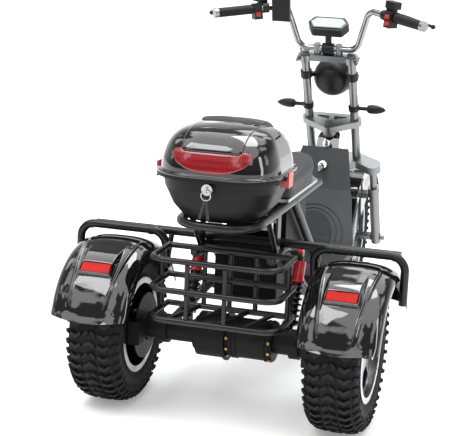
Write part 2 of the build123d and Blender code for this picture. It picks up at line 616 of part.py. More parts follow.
def head_cover():
    """Glossy cover round the head tube, reaching back to the leg shield."""
    low, high = -158, -47
    plan = make_hull([*Circle(37).edges(), *(Pos(0, -150) * Rectangle(96, 20)).edges()])
    block = STEER * Pos(0, 0, low) * extrude(plan, high - low)
    _, front = shield_band(0, SHIELD_T + 0.3)
    (ya, za), (yb, zb) = front[0], front[1]
    k = (yb - ya) / (zb - za)
    behind = make_face(Polyline((ya + k * 120, za + 120), (yb - k * 120, zb - 120), (700, 350), (700, 726), close=True))
    block -= Plane.YZ * Pos(0, 0, -200) * extrude(behind, 400)
    block -= STEER * Pos(0, 0, -300) * extrude(Circle(HEAD_TUBE_R + 0.3), 400)
    line = Vector(*DOWN_TOP) - Vector(*DOWN_KNEE)
    block -= rod(tuple(Vector(*DOWN_KNEE)), tuple(Vector(*DOWN_TOP) + line.normalized() * 60), DOWN_R + 0.3)
    return block


def ignition_lock():
    """Key switch on the rear face of the head cover, with a key in it."""
    _, front = shield_band(0, SHIELD_T + 0.3)
    (ya, za), (yb, zb) = front[0], front[1]
    up = Vector(0, ya - yb, za - zb).normalized()
    out = Vector(0, -up.Z, up.Y)
    seat = Vector(0, ya, za) + up * 18 + out * 0.2
    key = Plane(origin=seat + out * 36, x_dir=(1, 0, 0), z_dir=out).location * Box(3, 22, 24)
    return fused([rod(seat, seat + out * 22, 13), rod(seat + out * 20, seat + out * 30, 4), key])


def bag_hook():
    """Chrome hook on a small base on the leg shield."""
    (y1, z1), (y0, z0) = DECK_TOP_LINE[0], DECK_TOP_LINE[1]
    y, z = y0 + 0.55 * (y1 - y0), z0 + 0.55 * (z1 - z0)
    base = rod((0, y - 0.2, z + 0.1), (0, y - 10, z + 4.5), 15)
    hook = bent_tube([(0, y - 8, z + 4), (0, y - 34, z + 15), (0, y - 34, z - 14), (0, y - 56, z - 14), (0, y - 56, z + 10)], 4, 9)
    return fused([base, hook])


def battery_box():
    """Closed battery box between the seat struts."""
    side = make_face(Polyline((432, 285.3), (470, 340), (470, 420), (452, 576), (226, 576), (226, 470), (356, 285.3), close=True))
    return Plane.YZ * Pos(0, 0, -92) * extrude(side, 184)


save("deck", deck())
save("deck_mats", deck_mats())
save("head_cover", head_cover())
save("ignition_lock", ignition_lock())
save("bag_hook", bag_hook())
save("battery_box", battery_box())


# ---------------------------------------------------------------- rear axle and suspension
HUB_IN_X = REAR_TRACK_HALF - REAR_RIM_W / 2 + 20
DISC_X = REAR_TRACK_HALF - REAR_RIM_W / 2 - 16
AXLE_END_X = DISC_X - 8
ARM_X = AXLE_END_X - 53


def across(x0, x1, radius, y=0.0, z=REAR_AXLE_Z):
    """A round bar along X."""
    return rod((x0, y, z), (x1, y, z), radius)


def axle_housing():
    """Axle tubes, differential bulge and the shafts that carry the wheels."""
    pieces = [
        across(-AXLE_END_X, AXLE_END_X, AXLE_TUBE_R),
        across(-88, -6, DIFF_R), across(-100, -88, DIFF_R - 16), across(-6, 0, DIFF_R + 6),
        across(-REAR_TRACK_HALF - 62, REAR_TRACK_HALF + 62, SHAFT_R),
        across(-AXLE_END_X - 0, -AXLE_END_X + 10, AXLE_TUBE_R + 10), across(AXLE_END_X - 10, AXLE_END_X, AXLE_TUBE_R + 10),
    ]
    for s in (-1, 1):
        pieces.append(Pos(s * SHOCK_X, 42, REAR_AXLE_Z + 4) * Box(6, 84, 44))
        pieces.append(across(s * SHOCK_X, s * (SHOCK_X + 18), 7, *SHOCK_LOW))
    return fused(pieces)


def drive_motor():
    """The motor's can on the axle, right of the differential, with its cooling collar."""
    can = across(0.2, 135, MOTOR_R) - across(0, 160, AXLE_TUBE_R + 0.1)
    for x in (14, 26, 112, 124):
        can = can.fuse(across(x, x + 5, MOTOR_R + 3) - across(x - 1, x + 6, AXLE_TUBE_R + 0.1))
    return can


def axle_nuts():
    """Nuts and washers on the ends of the shafts."""
    nut = across(REAR_TRACK_HALF + 62.2, REAR_TRACK_HALF + 74, 15)
    return both_sides(nut)


def swing_arms():
    """Two arms from the frame's knees to the axle, clamped round its tubes."""
    start, end = Vector(0, *KNEE), Vector(0, 0, REAR_AXLE_Z)
    away = (end - start).normalized()
    a, b = start + away * 18, end - away * 36
    arm = rod((ARM_X, a.Y, a.Z), (ARM_X, b.Y, b.Z), 15)
    eye = across(ARM_X - 15, ARM_X + 15, 22, *KNEE)
    ring = across(ARM_X - 14, ARM_X + 14, AXLE_TUBE_R + 9)
    pin = across(FRAME_X + RAIL_R + 0.3, ARM_X + 20, 10, *KNEE)
    body = fused([arm, eye, ring, pin]) - across(ARM_X - 30, ARM_X + 30, AXLE_TUBE_R + 0.05)
    return both_sides(body)


def rear_calipers():
    """Brake calipers over the discs, on brackets from the axle tube's flange."""
    clear, disc_t = 5.0, 4.0
    x0, x1 = DISC_X - clear - 14, DISC_X + disc_t + clear + 7
    block = Pos((x0 + x1) / 2, -88, REAR_AXLE_Z + 4) * Box(x1 - x0, 40, 66)
    slot = Pos(DISC_X + disc_t / 2, -60, REAR_AXLE_Z + 4) * Box(disc_t + 2 * clear, 82, 80)
    bracket = Pos(AXLE_END_X - 5, -56, REAR_AXLE_Z) * Box(8, 60, 44)
    bracket -= across(AXLE_END_X - 20, AXLE_END_X + 20, AXLE_TUBE_R + 10.1)
    return both_sides(fused([block - slot, bracket]))


def shock(part):
    """One rear shock: its body with both eyes, or its spring."""
    low, top = Vector(SHOCK_X + 12, *SHOCK_LOW), Vector(SHOCK_X + 12, *SHOCK_TOP)
    line = (top - low).normalized()
    length = (top - low).length

    def along(a, b, r):
        p, q = low + line * a, low + line * b
        return rod(p, q, r)

    if part == "spring":
        return both_sides(along(30.2, length - 88.2, 23) - along(20, length - 60, 15.1))
    eyes = [across(SHOCK_X + 3.3, SHOCK_X + 17, 14, *SHOCK_LOW), across(SHOCK_X + 3.3, SHOCK_X + 17, 14, *SHOCK_TOP)]
    can = fused([*eyes, along(8, length - 8, 9), along(24, 30, 24), along(length - 88, length - 82, 24), along(20, length - 60, 15),
                 along(length - 82, length - 22, 17)])
    return both_sides(can - across(SHOCK_X - 5, SHOCK_X + 30, 7.05, *SHOCK_LOW) - across(SHOCK_X - 5, SHOCK_X + 30, 8.05, *SHOCK_TOP))


save("axle_housing", axle_housing())
save("drive_motor", drive_motor())
save("axle_nuts", axle_nuts())
save("swing_arms", swing_arms())
save("rear_calipers", rear_calipers())
save("rear_shocks", shock("body"))
save("shock_springs", shock("spring"))


# ---------------------------------------------------------------- fenders, guard bars, basket
FENDER_MID = (10.0, 226.0)
FENDER_ROUND = 44.0
FENDER_SKIRT = 4.0
FENDER_SKIRT_R = FENDER_R + FENDER_T - FENDER_ROUND - FENDER_SKIRT
FENDER_REAR_DEG, FENDER_FRONT_DEG = 16.0, 24.0


def fender():
    """The right fender: a rounded arch section turned about an axis near the wheel's."""
    x0, x1, r = FENDER_IN_X, FENDER_OUT_X, FENDER_R + FENDER_T

    def arch(grow):
        top, side = r - grow, grow
        corner = FENDER_ROUND - grow
        pts = [(x0 + side, FENDER_SKIRT_R), (x0 + side, top - corner)]
        k = corner * (1 - math.sqrt(0.5))
        return pts, (x0 + side + k, top - k), (x0 + side + corner, top), (x1 - side - corner, top), (x1 - side - k, top - k), \
            (x1 - side, top - corner), (x1 - side, FENDER_SKIRT_R)

    with BuildSketch(Plane.XY) as wall:
        with BuildLine():
            for grow in (0, FENDER_T):
                (foot, shoulder), a, b, c, d, e, f = arch(grow)
                Line(foot, shoulder)
                ThreePointArc(shoulder, a, b)
                Line(b, c)
                ThreePointArc(c, d, e)
                Line(e, f)
            Line((x0, FENDER_SKIRT_R), (x0 + FENDER_T, FENDER_SKIRT_R))
            Line((x1 - FENDER_T, FENDER_SKIRT_R), (x1, FENDER_SKIRT_R))
        make_face()
    sweep_deg = 180 - FENDER_REAR_DEG - FENDER_FRONT_DEG
    shell = revolve(wall.sketch, Axis.X, sweep_deg)
    return Pos(0, *FENDER_MID) * Rot(FENDER_FRONT_DEG, 0, 0) * shell


def rear_fenders():
    return both_sides(fender())


def reflectors():
    """Red reflectors let into the backs of the fenders."""
    angle = math.radians(180 - 50)
    y, z = FENDER_MID[0] + (FENDER_R + FENDER_T) * math.cos(angle), FENDER_MID[1] + (FENDER_R + FENDER_T) * math.sin(angle)
    normal = Vector(0, math.cos(angle), math.sin(angle))
    plane = Plane(origin=(352, y, z), x_dir=(1, 0, 0), z_dir=normal)
    return both_sides(plane.location * Pos(0, 0, 0.1 + 5) * Box(84, 30, 10))


def fender_bars():
    """The bar across the trike and a guard hoop over each fender."""
    bar = rod((-HOOP_OUT_X + 24, *CROSS_BAR), (HOOP_OUT_X - 24, *CROSS_BAR), CROSS_BAR_R)
    hoops = []
    for s in (-1, 1):
        hoops.append(bent_tube([(s * HOOP_IN_X, HOOP_Y + 26, 392), (s * HOOP_IN_X, HOOP_Y, HOOP_TOP_Z),
                                (s * HOOP_OUT_X, HOOP_Y, HOOP_TOP_Z), (s * HOOP_OUT_X, HOOP_Y, 366)], HOOP_R, 42))
        hoops.append(rod((s * HOOP_IN_X, HOOP_Y + 26, 400), (s * HOOP_IN_X, CROSS_BAR[0], CROSS_BAR[1]), 8))
        hoops.append(Pos(s * (HOOP_OUT_X - 30), (HOOP_Y + CROSS_BAR[0]) / 2, HOOP_TOP_Z - 8) * Box(14, 66, 14))
        hoops.append(Pos(s * (HOOP_IN_X + 44), (HOOP_Y + CROSS_BAR[0]) / 2, HOOP_TOP_Z - 8) * Box(14, 66, 14))
    return fused([bar, *hoops])


BASKET_RAIL_Z = {"top": BASKET_TOP_Z, "mid": (BASKET_TOP_Z + BASKET_LOW_Z) / 2, "low": BASKET_LOW_Z}


def basket_rail(z):
    """One closed rail of the basket: three sides bent from one tube and a straight front."""
    r = BASKET_TUBE_R
    rail = bent_tube([(-BASKET_HALF, BASKET_FRONT_Y, z), (-BASKET_HALF, BASKET_BACK_Y, z),
                      (BASKET_HALF, BASKET_BACK_Y, z), (BASKET_HALF, BASKET_FRONT_Y, z)], r, 44)
    ends = [Pos(s * BASKET_HALF, BASKET_FRONT_Y, z) * Sphere(r) for s in (-1, 1)]
    return [rail, rod((-BASKET_HALF, BASKET_FRONT_Y, z), (BASKET_HALF, BASKET_FRONT_Y, z), r), *ends]


def basket_top():
    """The top rail with its two feet on the frame's side rails."""
    feet = []
    for s in (-1, 1):
        y0, y1 = BASKET_FRONT_Y, REAR_RAIL_END_Y - 0.3
        feet.append(Pos(s * FRAME_X, (y0 + y1) / 2, MID_RAIL_Z + 6) * Box(18, y1 - y0, 18))
    return fused([*basket_rail(BASKET_RAIL_Z["top"]), *feet])


def basket_low():
    """The low rail with the slanting tubes of the floor."""
    z, r = BASKET_LOW_Z, BASKET_TUBE_R
    slats = [rod((x0, BASKET_BACK_Y, z), (x1, BASKET_FRONT_Y, z), r - 2)
             for x0, x1 in ((-130, -85), (-58, -13), (14, 59), (86, 131))]
    return fused([*basket_rail(z), *slats])


def basket_uprights():
    """Short uprights between the rails."""
    zs = sorted(BASKET_RAIL_Z.values())
    pieces = []
    for x, y in ((-72, BASKET_BACK_Y), (36, BASKET_BACK_Y), (-BASKET_HALF, -78), (BASKET_HALF, -78),
                 (-76, BASKET_FRONT_Y), (76, BASKET_FRONT_Y), (0, BASKET_FRONT_Y)):
        for low, high in zip(zs, zs[1:]):
            pieces.append(rod((x, y, low + BASKET_TUBE_R + 0.1), (x, y, high - BASKET_TUBE_R - 0.1), BASKET_TUBE_R - 1.5))
    return Compound(children=pieces)


save("rear_fenders", rear_fenders())
save("reflectors", reflectors())
save("fender_bars", fender_bars())
save("basket_top", basket_top())
save("basket_mid", fused(basket_rail(BASKET_RAIL_Z["mid"])))
save("basket_low", basket_low())
save("basket_uprights", basket_uprights())


# ---------------------------------------------------------------- saddle
def seat_pan():
    """The saddle's metal base with two ears round the frame's front cross tube."""
    half = SEAT_HALF - 6
    corners = [(-half, SEAT_BACK_Y), (half, SEAT_BACK_Y), (half, 450), (70, SEAT_FRONT_Y - 6), (-70, SEAT_FRONT_Y - 6), (-half, 450)]
    plate = Pos(0, 0, UPPER_Z + UPPER_R + 5) * extrude(make_face(Polyline(*corners, close=True)), 9)
    ears = []
    for s in (-1, 1):
        ears.append(rod((s * 60 - 10, SEAT_HINGE_Y, UPPER_Z), (s * 60 + 10, SEAT_HINGE_Y, UPPER_Z), 20))
    pan = fused([plate, *ears])
    return pan - rod((-100, SEAT_HINGE_Y, UPPER_Z), (100, SEAT_HINGE_Y, UPPER_Z), UPPER_R + 0.3)


SEAT_BACK_Y = CASE_FRONT_Y + 14
PAN_TOP = UPPER_Z + UPPER_R + 14


def seat_cushion():
    """The saddle's padding, plain: level, with a narrower nose."""
    corners = [(-SEAT_HALF, SEAT_BACK_Y), (SEAT_HALF, SEAT_BACK_Y), (SEAT_HALF, 440), (78, SEAT_FRONT_Y), (-78, SEAT_FRONT_Y), (-SEAT_HALF, 440)]
    block = Pos(0, 0, PAN_TOP + 0.3) * extrude(make_face(Polyline(*corners, close=True)), SEAT_H)
    return fillet(block.edges().group_by(Axis.Z)[-1], 22)


save("seat_pan", seat_pan())
save("seat_cushion", seat_cushion())


# ---------------------------------------------------------------- top case
CASE_MID_Y = (CASE_FRONT_Y + CASE_BACK_Y) / 2
CASE_FLOOR_Z = UPPER_Z + UPPER_R + 0.3
LID_GAP = 0.5
CASE_HINGE = (CASE_FRONT_Y + 2, CASE_RIM_Z)
# plans at rising heights: z, half width, back y, front y, corner radius
TRAY_PLANS = [
    (CASE_FLOOR_Z, 104, -205, 30, 84), (640, 134, -228, 52, 98), (690, 155, -249, 72, 110), (CASE_RIM_Z, 162, -257, 80, 115)]
LID_PLANS = [
    (CASE_RIM_Z + LID_GAP, 165, -260, 84, 116), (768, 162, -258, 80, 114), (798, 154, -248, 70, 110),
    (825, 140, -228, 50, 104), (843, 118, -200, 22, 92), (853, 90, -170, -8, 74)]


def case_plan(z, half, back, front, corner, grow=0.0):
    return Pos(0, (back + front) / 2, z) * RectangleRounded(2 * (half + grow), front - back + 2 * grow, corner + grow)


def stack(plans, grow):
    return loft([case_plan(*plan, grow) for plan in plans], ruled=True)


def rim_plate(z, thick):
    return extrude(case_plan(z, CASE_HALF, CASE_BACK_Y, CASE_FRONT_Y, CASE_CORNER), thick)


def case_base():
    """The case's lower half: a bowl-sided tray with a flange round its open top."""
    outer = fused([stack(TRAY_PLANS, 0), rim_plate(CASE_RIM_Z - CASE_RIM_T, CASE_RIM_T)])
    low, *rest = TRAY_PLANS
    top = (CASE_RIM_Z + 10, *rest[-1][1:])
    return outer - stack([(low[0] + CASE_WALL, *low[1:]), *rest[:-1], top], -CASE_WALL)


def lid_form(grow):
    """The lid's rounded form, grown all round."""
    plans = [*LID_PLANS[:-1], (LID_PLANS[-1][0] + grow, *LID_PLANS[-1][1:])]
    return stack(plans, grow)


def case_lid():
    """The domed lid with its own flange."""
    outer = fused([lid_form(0), rim_plate(CASE_RIM_Z + LID_GAP, CASE_RIM_T)])
    low = LID_PLANS[0]
    inside = [(low[0] - 10, *low[1:]), *LID_PLANS[1:-1], (LID_PLANS[-1][0] - CASE_WALL, *LID_PLANS[-1][1:])]
    return outer - stack(inside, -CASE_WALL)


def lid_lens():
    """The red lens across the lid's back."""
    outline = Polyline((-104, 783), (-88, 797), (88, 797), (104, 783), (72, 751), (30, 744), (-30, 744), (-72, 751), close=True)
    window = Plane.XZ * Pos(0, 0, 130) * extrude(fillet(make_face(outline).vertices(), 8), 200)
    return (lid_form(2.5) - lid_form(0.1)) & window


def lid_pad():
    """The pad over the lid's front and top edge, which backs the rider."""
    return (lid_form(11) - lid_form(0.3)) & Pos(0, 60, 826) * Box(188, 250, 96)


def case_latches():
    """Red latches at both sides of the case, under its flange and beside it."""
    foot = Pos(CASE_HALF - 1, LATCH_Y, CASE_RIM_Z - CASE_RIM_T - 0.2 - 9) * Box(24, 44, 18)
    plate = Pos(CASE_HALF + 8.5, LATCH_Y, CASE_RIM_Z - 6) * Box(5, 44, 42)
    return both_sides(fused([foot, plate]) - stack(TRAY_PLANS, 0.1))


LATCH_Y = -118.0
LOCK_Z = 704.0


def case_lock():
    """Lock barrel at the back of the case, with a key ring and two keys hanging from it."""
    y = -252.0
    barrel = rod((0, y, LOCK_Z), (0, y - 20, LOCK_Z), 15)
    key = Pos(0, y - 25, LOCK_Z) * Box(3, 14, 16)
    ring = Pos(0, y - 26, LOCK_Z - 14) * Rot(90, 0, 0) * Torus(13, 1.6)
    keys = [Pos(0, y - 26, LOCK_Z - 14) * Rot(0, turn, 0) * Pos(0, step, -38) * Box(8, 2, 54)
            for turn, step in ((-8, -1.2), (14, 1.2))]
    return fused([barrel, key, ring, *keys]) - stack(TRAY_PLANS, 0.1)


def rear_lamps():
    """Clear lamps under the case, on the frame's straps."""
    lamp = Pos(76, STRAP_Y, 556) * Box(34, 26, 40)
    stub = rod((90, STRAP_Y, 562), (FRAME_X - 3.2, STRAP_Y, 562), 5)
    return both_sides(fused([lamp, stub]))


save("case_base", case_base())
save("case_lid", case_lid())
save("lid_lens", lid_lens())
save("lid_pad", lid_pad())
save("case_latches", case_latches())
save("case_lock", case_lock())
save("rear_lamps", rear_lamps())
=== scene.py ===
"""Looks of a motorized trike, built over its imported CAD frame.

Lengths are in metres unless a name ends in _mm. Side-to-side is X, forward is Y, up is Z. Places along Y
are counted from the rear axle, as the tables below give them in millimetres; at() moves them into the frame.
"""
import json
import math

import bmesh
import bpy
import numpy as np
from mathutils import Matrix, Vector
from mathutils.bvhtree import BVHTree


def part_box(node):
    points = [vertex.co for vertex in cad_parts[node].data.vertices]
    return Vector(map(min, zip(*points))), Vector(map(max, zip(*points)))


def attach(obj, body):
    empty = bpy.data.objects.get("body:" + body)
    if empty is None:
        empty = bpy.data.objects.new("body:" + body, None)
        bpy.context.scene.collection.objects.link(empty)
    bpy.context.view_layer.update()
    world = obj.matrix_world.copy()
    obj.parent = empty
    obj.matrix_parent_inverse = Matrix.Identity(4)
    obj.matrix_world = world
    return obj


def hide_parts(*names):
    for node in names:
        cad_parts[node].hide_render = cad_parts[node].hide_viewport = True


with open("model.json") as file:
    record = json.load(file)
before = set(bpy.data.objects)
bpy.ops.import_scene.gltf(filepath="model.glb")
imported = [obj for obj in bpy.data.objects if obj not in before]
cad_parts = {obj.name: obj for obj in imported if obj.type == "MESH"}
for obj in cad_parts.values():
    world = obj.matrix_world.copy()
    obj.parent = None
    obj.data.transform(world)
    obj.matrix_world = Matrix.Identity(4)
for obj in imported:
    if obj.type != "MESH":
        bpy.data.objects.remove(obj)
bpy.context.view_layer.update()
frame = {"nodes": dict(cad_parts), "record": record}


def middle(node):
    """Centre of a CAD node's box."""
    low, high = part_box(node)
    return (Vector(low) + Vector(high)) / 2


REAR_RIGHT, REAR_LEFT, FRONT = middle("rear_rim_right"), middle("rear_rim_left"), middle("front_rim")
AXLE_Y = REAR_RIGHT.y


def at(x_mm, y_mm, z_mm):
    """A place counted from the rear axle in millimetres, as a point of the frame."""
    return Vector((x_mm / 1000, AXLE_Y + y_mm / 1000, z_mm / 1000))


# ---------------------------------------------------------------- camera and lights
# The camera was solved from pairs of points that lie left and right of the trike's middle plane.
AZIMUTH, ELEVATION, ROLL = (math.radians(a) for a in (16.52, 12.70, 2.365))
FOCAL_PX, CENTRE_PX, PICTURE_PX = 1434.385, (231.578, 216.912), (457, 436)
EYE = Vector((1.10745, AXLE_Y - 3.76714, 1.46149))

back = Vector((math.sin(AZIMUTH) * math.cos(ELEVATION), -math.cos(AZIMUTH) * math.cos(ELEVATION), math.sin(ELEVATION)))
level = Vector((math.cos(AZIMUTH), math.sin(AZIMUTH), 0))
steep = back.cross(level)
right = math.cos(ROLL) * level + math.sin(ROLL) * steep
up = -math.sin(ROLL) * level + math.cos(ROLL) * steep

lens = bpy.data.cameras.new("camera")
lens.sensor_width = 36
lens.lens = FOCAL_PX * lens.sensor_width / PICTURE_PX[0]
lens.shift_x = (PICTURE_PX[0] / 2 - CENTRE_PX[0]) / PICTURE_PX[0]
lens.shift_y = (CENTRE_PX[1] - PICTURE_PX[1] / 2) / PICTURE_PX[0]
lens.clip_end = 60
camera = bpy.data.objects.new("camera", lens)
camera.matrix_world = Matrix((
    (right.x, up.x, back.x, EYE.x), (right.y, up.y, back.y, EYE.y), (right.z, up.z, back.z, EYE.z), (0, 0, 0, 1)))
bpy.context.scene.collection.objects.link(camera)
bpy.context.scene.camera = camera


def area_light(name, place, target, size, watts, colour=(1, 1, 1)):
    """A rectangular studio light at place, turned towards target."""
    data = bpy.data.lights.new(name, "AREA")
    data.shape, data.size, data.size_y = "RECTANGLE", size[0], size[1]
    data.energy, data.color = watts, colour
    lamp = bpy.data.objects.new(name, data)
    lamp.location = place
    lamp.rotation_euler = (Vector(place) - Vector(target)).to_track_quat("Z", "Y").to_euler()
    bpy.context.scene.collection.objects.link(lamp)


area_light("key", (-1.4, -2.4, 3.6), (0, -0.4, 0.5), (2.2, 1.4), 50)
area_light("overhead", (0.5, 0.3, 3.8), (0, -0.2, 0.4), (2.4, 1.2), 60, (0.97, 0.98, 1))
area_light("right_strip", (3.0, -1.4, 1.5), (0.2, -0.5, 0.5), (0.4, 2.0), 14)


# ---------------------------------------------------------------- node graphs
class Wire:
    """A node's output, with arithmetic that adds Math nodes."""

    def __init__(self, graph, socket):
        self.graph, self.socket = graph, socket

    def math(self, operation, *others):
        return self.graph.node("Math", self, *others, operation=operation)

    def __add__(self, other):
        return self.math("ADD", other)

    def __sub__(self, other):
        return self.math("SUBTRACT", other)

    def __mul__(self, other):
        return self.math("MULTIPLY", other)

    def __rsub__(self, other):
        return self.graph.node("Math", other, self, operation="SUBTRACT")

    __radd__ = __add__

    def ramp(self, start, end, low=0.0, high=1.0):
        """low before start, high after end, and a smooth step between them."""
        return self.graph.node("MapRange", self, start, end, low, high, interpolation_type="SMOOTHSTEP")


class Graph:
    """The nodes of a material or a world. A Wire given to an input is linked, anything else is its value."""

    def __init__(self, owner):
        owner.use_nodes = True
        self.owner, self.tree = owner, owner.node_tree
        self.tree.nodes.clear()
        self.place = self.node("TexCoord", out=3)

    def node(self, kind, *inputs, out=0, named=None, **settings):
        made = self.tree.nodes.new("ShaderNode" + kind)
        for key, value in settings.items():
            setattr(made, key, value)
        for key, value in [*enumerate(inputs), *(named or {}).items()]:
            if isinstance(value, Wire):
                self.tree.links.new(value.socket, made.inputs[key])
            else:
                made.inputs[key].default_value = value
        return Wire(self, made.outputs[out] if len(made.outputs) else None)

    def noise(self, scale, detail=3.0, vector=None):
        return self.node("TexNoise", named={"Vector": vector or self.place, "Scale": scale, "Detail": detail})

    def axes(self, vector=None):
        """The three coordinates as separate wires."""
        split = self.node("SeparateXYZ", vector or self.place)
        return [Wire(self, socket) for socket in split.socket.node.outputs]

    def mix(self, share, first, second):
        first, second = ((*c, 1) if isinstance(c, tuple) else c for c in (first, second))
        return self.node("Mix", out=2, data_type="RGBA", named={0: share, 6: first, 7: second})

    def surface(self, bump=None, **sockets):
        """Ends the material in one Principled shader. bump is (height, distance)."""
        named = {key.replace("_", " "): value for key, value in sockets.items()}
        if bump:
            named["Normal"] = self.node("Bump", named={"Height": bump[0], "Distance": bump[1], "Strength": 1.0})
        if "Base Color" in named and isinstance(named["Base Color"], tuple):
            named["Base Color"] = (*named["Base Color"], 1)
        self.node("OutputMaterial", self.node("BsdfPrincipled", named=named))
        return self.owner


def material(name):
    return Graph(bpy.data.materials.new(name))


# ---------------------------------------------------------------- sky
# White to the eye. What lights the trike and shows in its gloss is an open sky that breaks through
# dark leaves overhead, white ahead of it and dim behind, so black paint stays black.
g = Graph(bpy.data.worlds.new("sky"))
towards = g.node("TexCoord", out=0)
_, ahead, height = g.axes(towards)
leaves = g.noise(2.6, 9.0, towards)
open_sky = (leaves + height * 0.42).ramp(0.74, 0.79) * 2.0 + 0.20
haze = (ahead + 0.25).math("MAXIMUM", 0.0) * height.ramp(0.10, 0.55, 1.0, 0.0) * 0.85
glow = open_sky * height.ramp(0.0, 0.3, 0.6, 1.0) + haze
seen = g.node("LightPath", out=0)
g.node("OutputWorld", g.node("Background", (1, 1, 1, 1), (1 - seen) * glow + seen))
bpy.context.scene.world = g.owner
bpy.context.scene.view_settings.view_transform = "Standard"


# ---------------------------------------------------------------- looks
def coated(name, dark, light, rough, grain_scale, grain_depth, **sockets):
    """Paint, plastic or rubber: its colour drifts between two tones, and a fine grain lifts it."""
    g = material(name)
    drift, grain = g.noise(7.0, 5.0), g.noise(grain_scale, 2.0)
    colour = g.mix(drift.ramp(0.3, 0.7), dark, light)
    roughness = (drift - 0.5) * 0.18 * rough + (grain - 0.5) * 0.3 * rough + rough
    return g.surface(bump=(grain, grain_depth), Base_Color=colour, Roughness=roughness, **sockets)


def metal(name, dark, light, rough, stretch, **sockets):
    """Worked metal: fine marks run along the axis whose stretch is small."""
    g = material(name)
    lines = g.noise(1.0, 4.0, g.node("Mapping", g.place, named={"Scale": stretch}))
    drift = g.noise(11.0, 4.0)
    colour = g.mix(drift * 0.6 + lines * 0.4, dark, light)
    return g.surface(bump=(lines, 0.00012), Base_Color=colour, Roughness=(lines - 0.5) * 0.25 + (drift - 0.5) * 0.2 + rough,
                     Metallic=1.0, **sockets)


def cast_wheel(name, centre, out_x, half):
    """A painted black wheel whose lips and spoke faces are machined bright, in fine rings about its axle."""
    g = material(name)
    x, y, z = g.axes()
    out, y, z = x.math("ABSOLUTE") - abs(centre.x), y - centre.y, z - centre.z
    radius = (y * y + z * z).math("SQRT")
    bright = out.ramp(out_x - 0.0015, out_x - 0.0005).math("MAXIMUM", out.math("ABSOLUTE").ramp(half - 0.009, half - 0.0075))
    rings = g.noise(900.0, 2.0, g.node("CombineXYZ", radius, 0.0, 0.0))
    drift = g.noise(14.0, 4.0)
    colour = g.mix(bright, (0.012, 0.012, 0.013), g.mix(drift.ramp(0.35, 0.75), (0.50, 0.51, 0.52), (0.32, 0.325, 0.34)))
    return g.surface(bump=(rings, 0.00006), Base_Color=colour, Metallic=bright,
                     Roughness=(rings - 0.5) * 0.2 + drift * 0.12 + 0.30 - bright * 0.12)


def tyre_rubber(name, centre, crown, tread):
    """Tyre rubber: dusty between the lugs and finely lined on the side walls, with painted shade that colours the
    grooves and side walls darker than the lug tops.
    """
    g = material(name)
    _, y, z = g.axes()
    y, z = y - centre.y, z - centre.z
    radius = (y * y + z * z).math("SQRT")
    lines = (radius * 900.0).math("SINE") * 0.5 + 0.5
    wall = radius.ramp(crown - 0.075, crown - 0.045, 1.0, 0.0)
    grain, patches = g.noise(420.0, 3.0), g.noise(16.0, 5.0)
    dust = patches.ramp(0.42, 0.7) * radius.ramp(crown - 0.03, crown + tread * 0.6, 1.0, 0.25)
    # painted shade: below the lug tops, in the grooves and down the side walls, the rubber is coloured darker than on
    # the tops
    tops = radius.ramp(crown - 0.001, crown + tread * 0.7)
    colour = g.mix(dust * 0.35, g.mix(tops, (0.0035, 0.0035, 0.0038), (0.0125, 0.0125, 0.0130)), (0.040, 0.038, 0.036))
    height = grain * 0.5 + lines * wall * 0.35 + patches * 0.4
    return g.surface(bump=(height, 0.00018), Base_Color=colour, Roughness=dust * 0.15 + (grain - 0.5) * 0.2 + 0.66,
                     Specular_IOR_Level=0.25)


def leather(name, dark, light):
    """Grained leather: cells with fine creases, glossier on the grain's tops."""
    g = material(name)
    cells = g.node("TexVoronoi", named={"Vector": g.place, "Scale": 330.0, "Randomness": 0.9}, feature="DISTANCE_TO_EDGE")
    folds, drift = g.noise(34.0, 6.0), g.noise(6.0, 4.0)
    tops = cells.ramp(0.0, 0.25)
    return g.surface(bump=(tops * 0.5 + folds * 0.9, 0.0007), Base_Color=g.mix(drift.ramp(0.3, 0.7), dark, light),
                     Roughness=0.62 - tops * 0.16 + (folds - 0.5) * 0.25, Specular_IOR_Level=0.45)


def lens_plastic(name, deep, bright, pitch):
    """Moulded lens: fine vertical ribs, brighter where they catch the light."""
    g = material(name)
    x, _, z = g.axes()
    ribs = (x * (2 * math.pi / pitch)).math("SINE") * 0.5 + 0.5
    rows = (z * (2 * math.pi / (pitch * 3))).math("SINE") * 0.5 + 0.5
    colour = g.mix(ribs * 0.5 + rows * 0.3 + g.noise(20.0) * 0.2, deep, bright)
    return g.surface(bump=(ribs * 0.6 + rows * 0.4, 0.0003), Base_Color=colour,
                     Roughness=rows * 0.06 + 0.10, Coat_Weight=1.0, Coat_Roughness=0.02)


def in_heights(name, bands, inside, outside, rough, metallic):
    """Two finishes parted by height: inside the bands of height (low, high), and outside them."""
    g = material(name)
    _, _, z = g.axes()
    soft = 0.0006
    share = sum(z.ramp(low - soft, low) * z.ramp(high, high + soft, 1.0, 0.0) for low, high in bands)
    drift = g.noise(40.0, 4.0)
    tone = g.mix(drift, inside, tuple(c * 1.35 for c in inside))
    return g.surface(bump=(g.noise(300.0, 2.0), 0.00004), Base_Color=g.mix(share, outside, tone),
                     Roughness=drift * 0.15 + rough, Metallic=share if metallic else 0.0,
                     Coat_Weight=share * 0.4, Coat_Roughness=0.06)


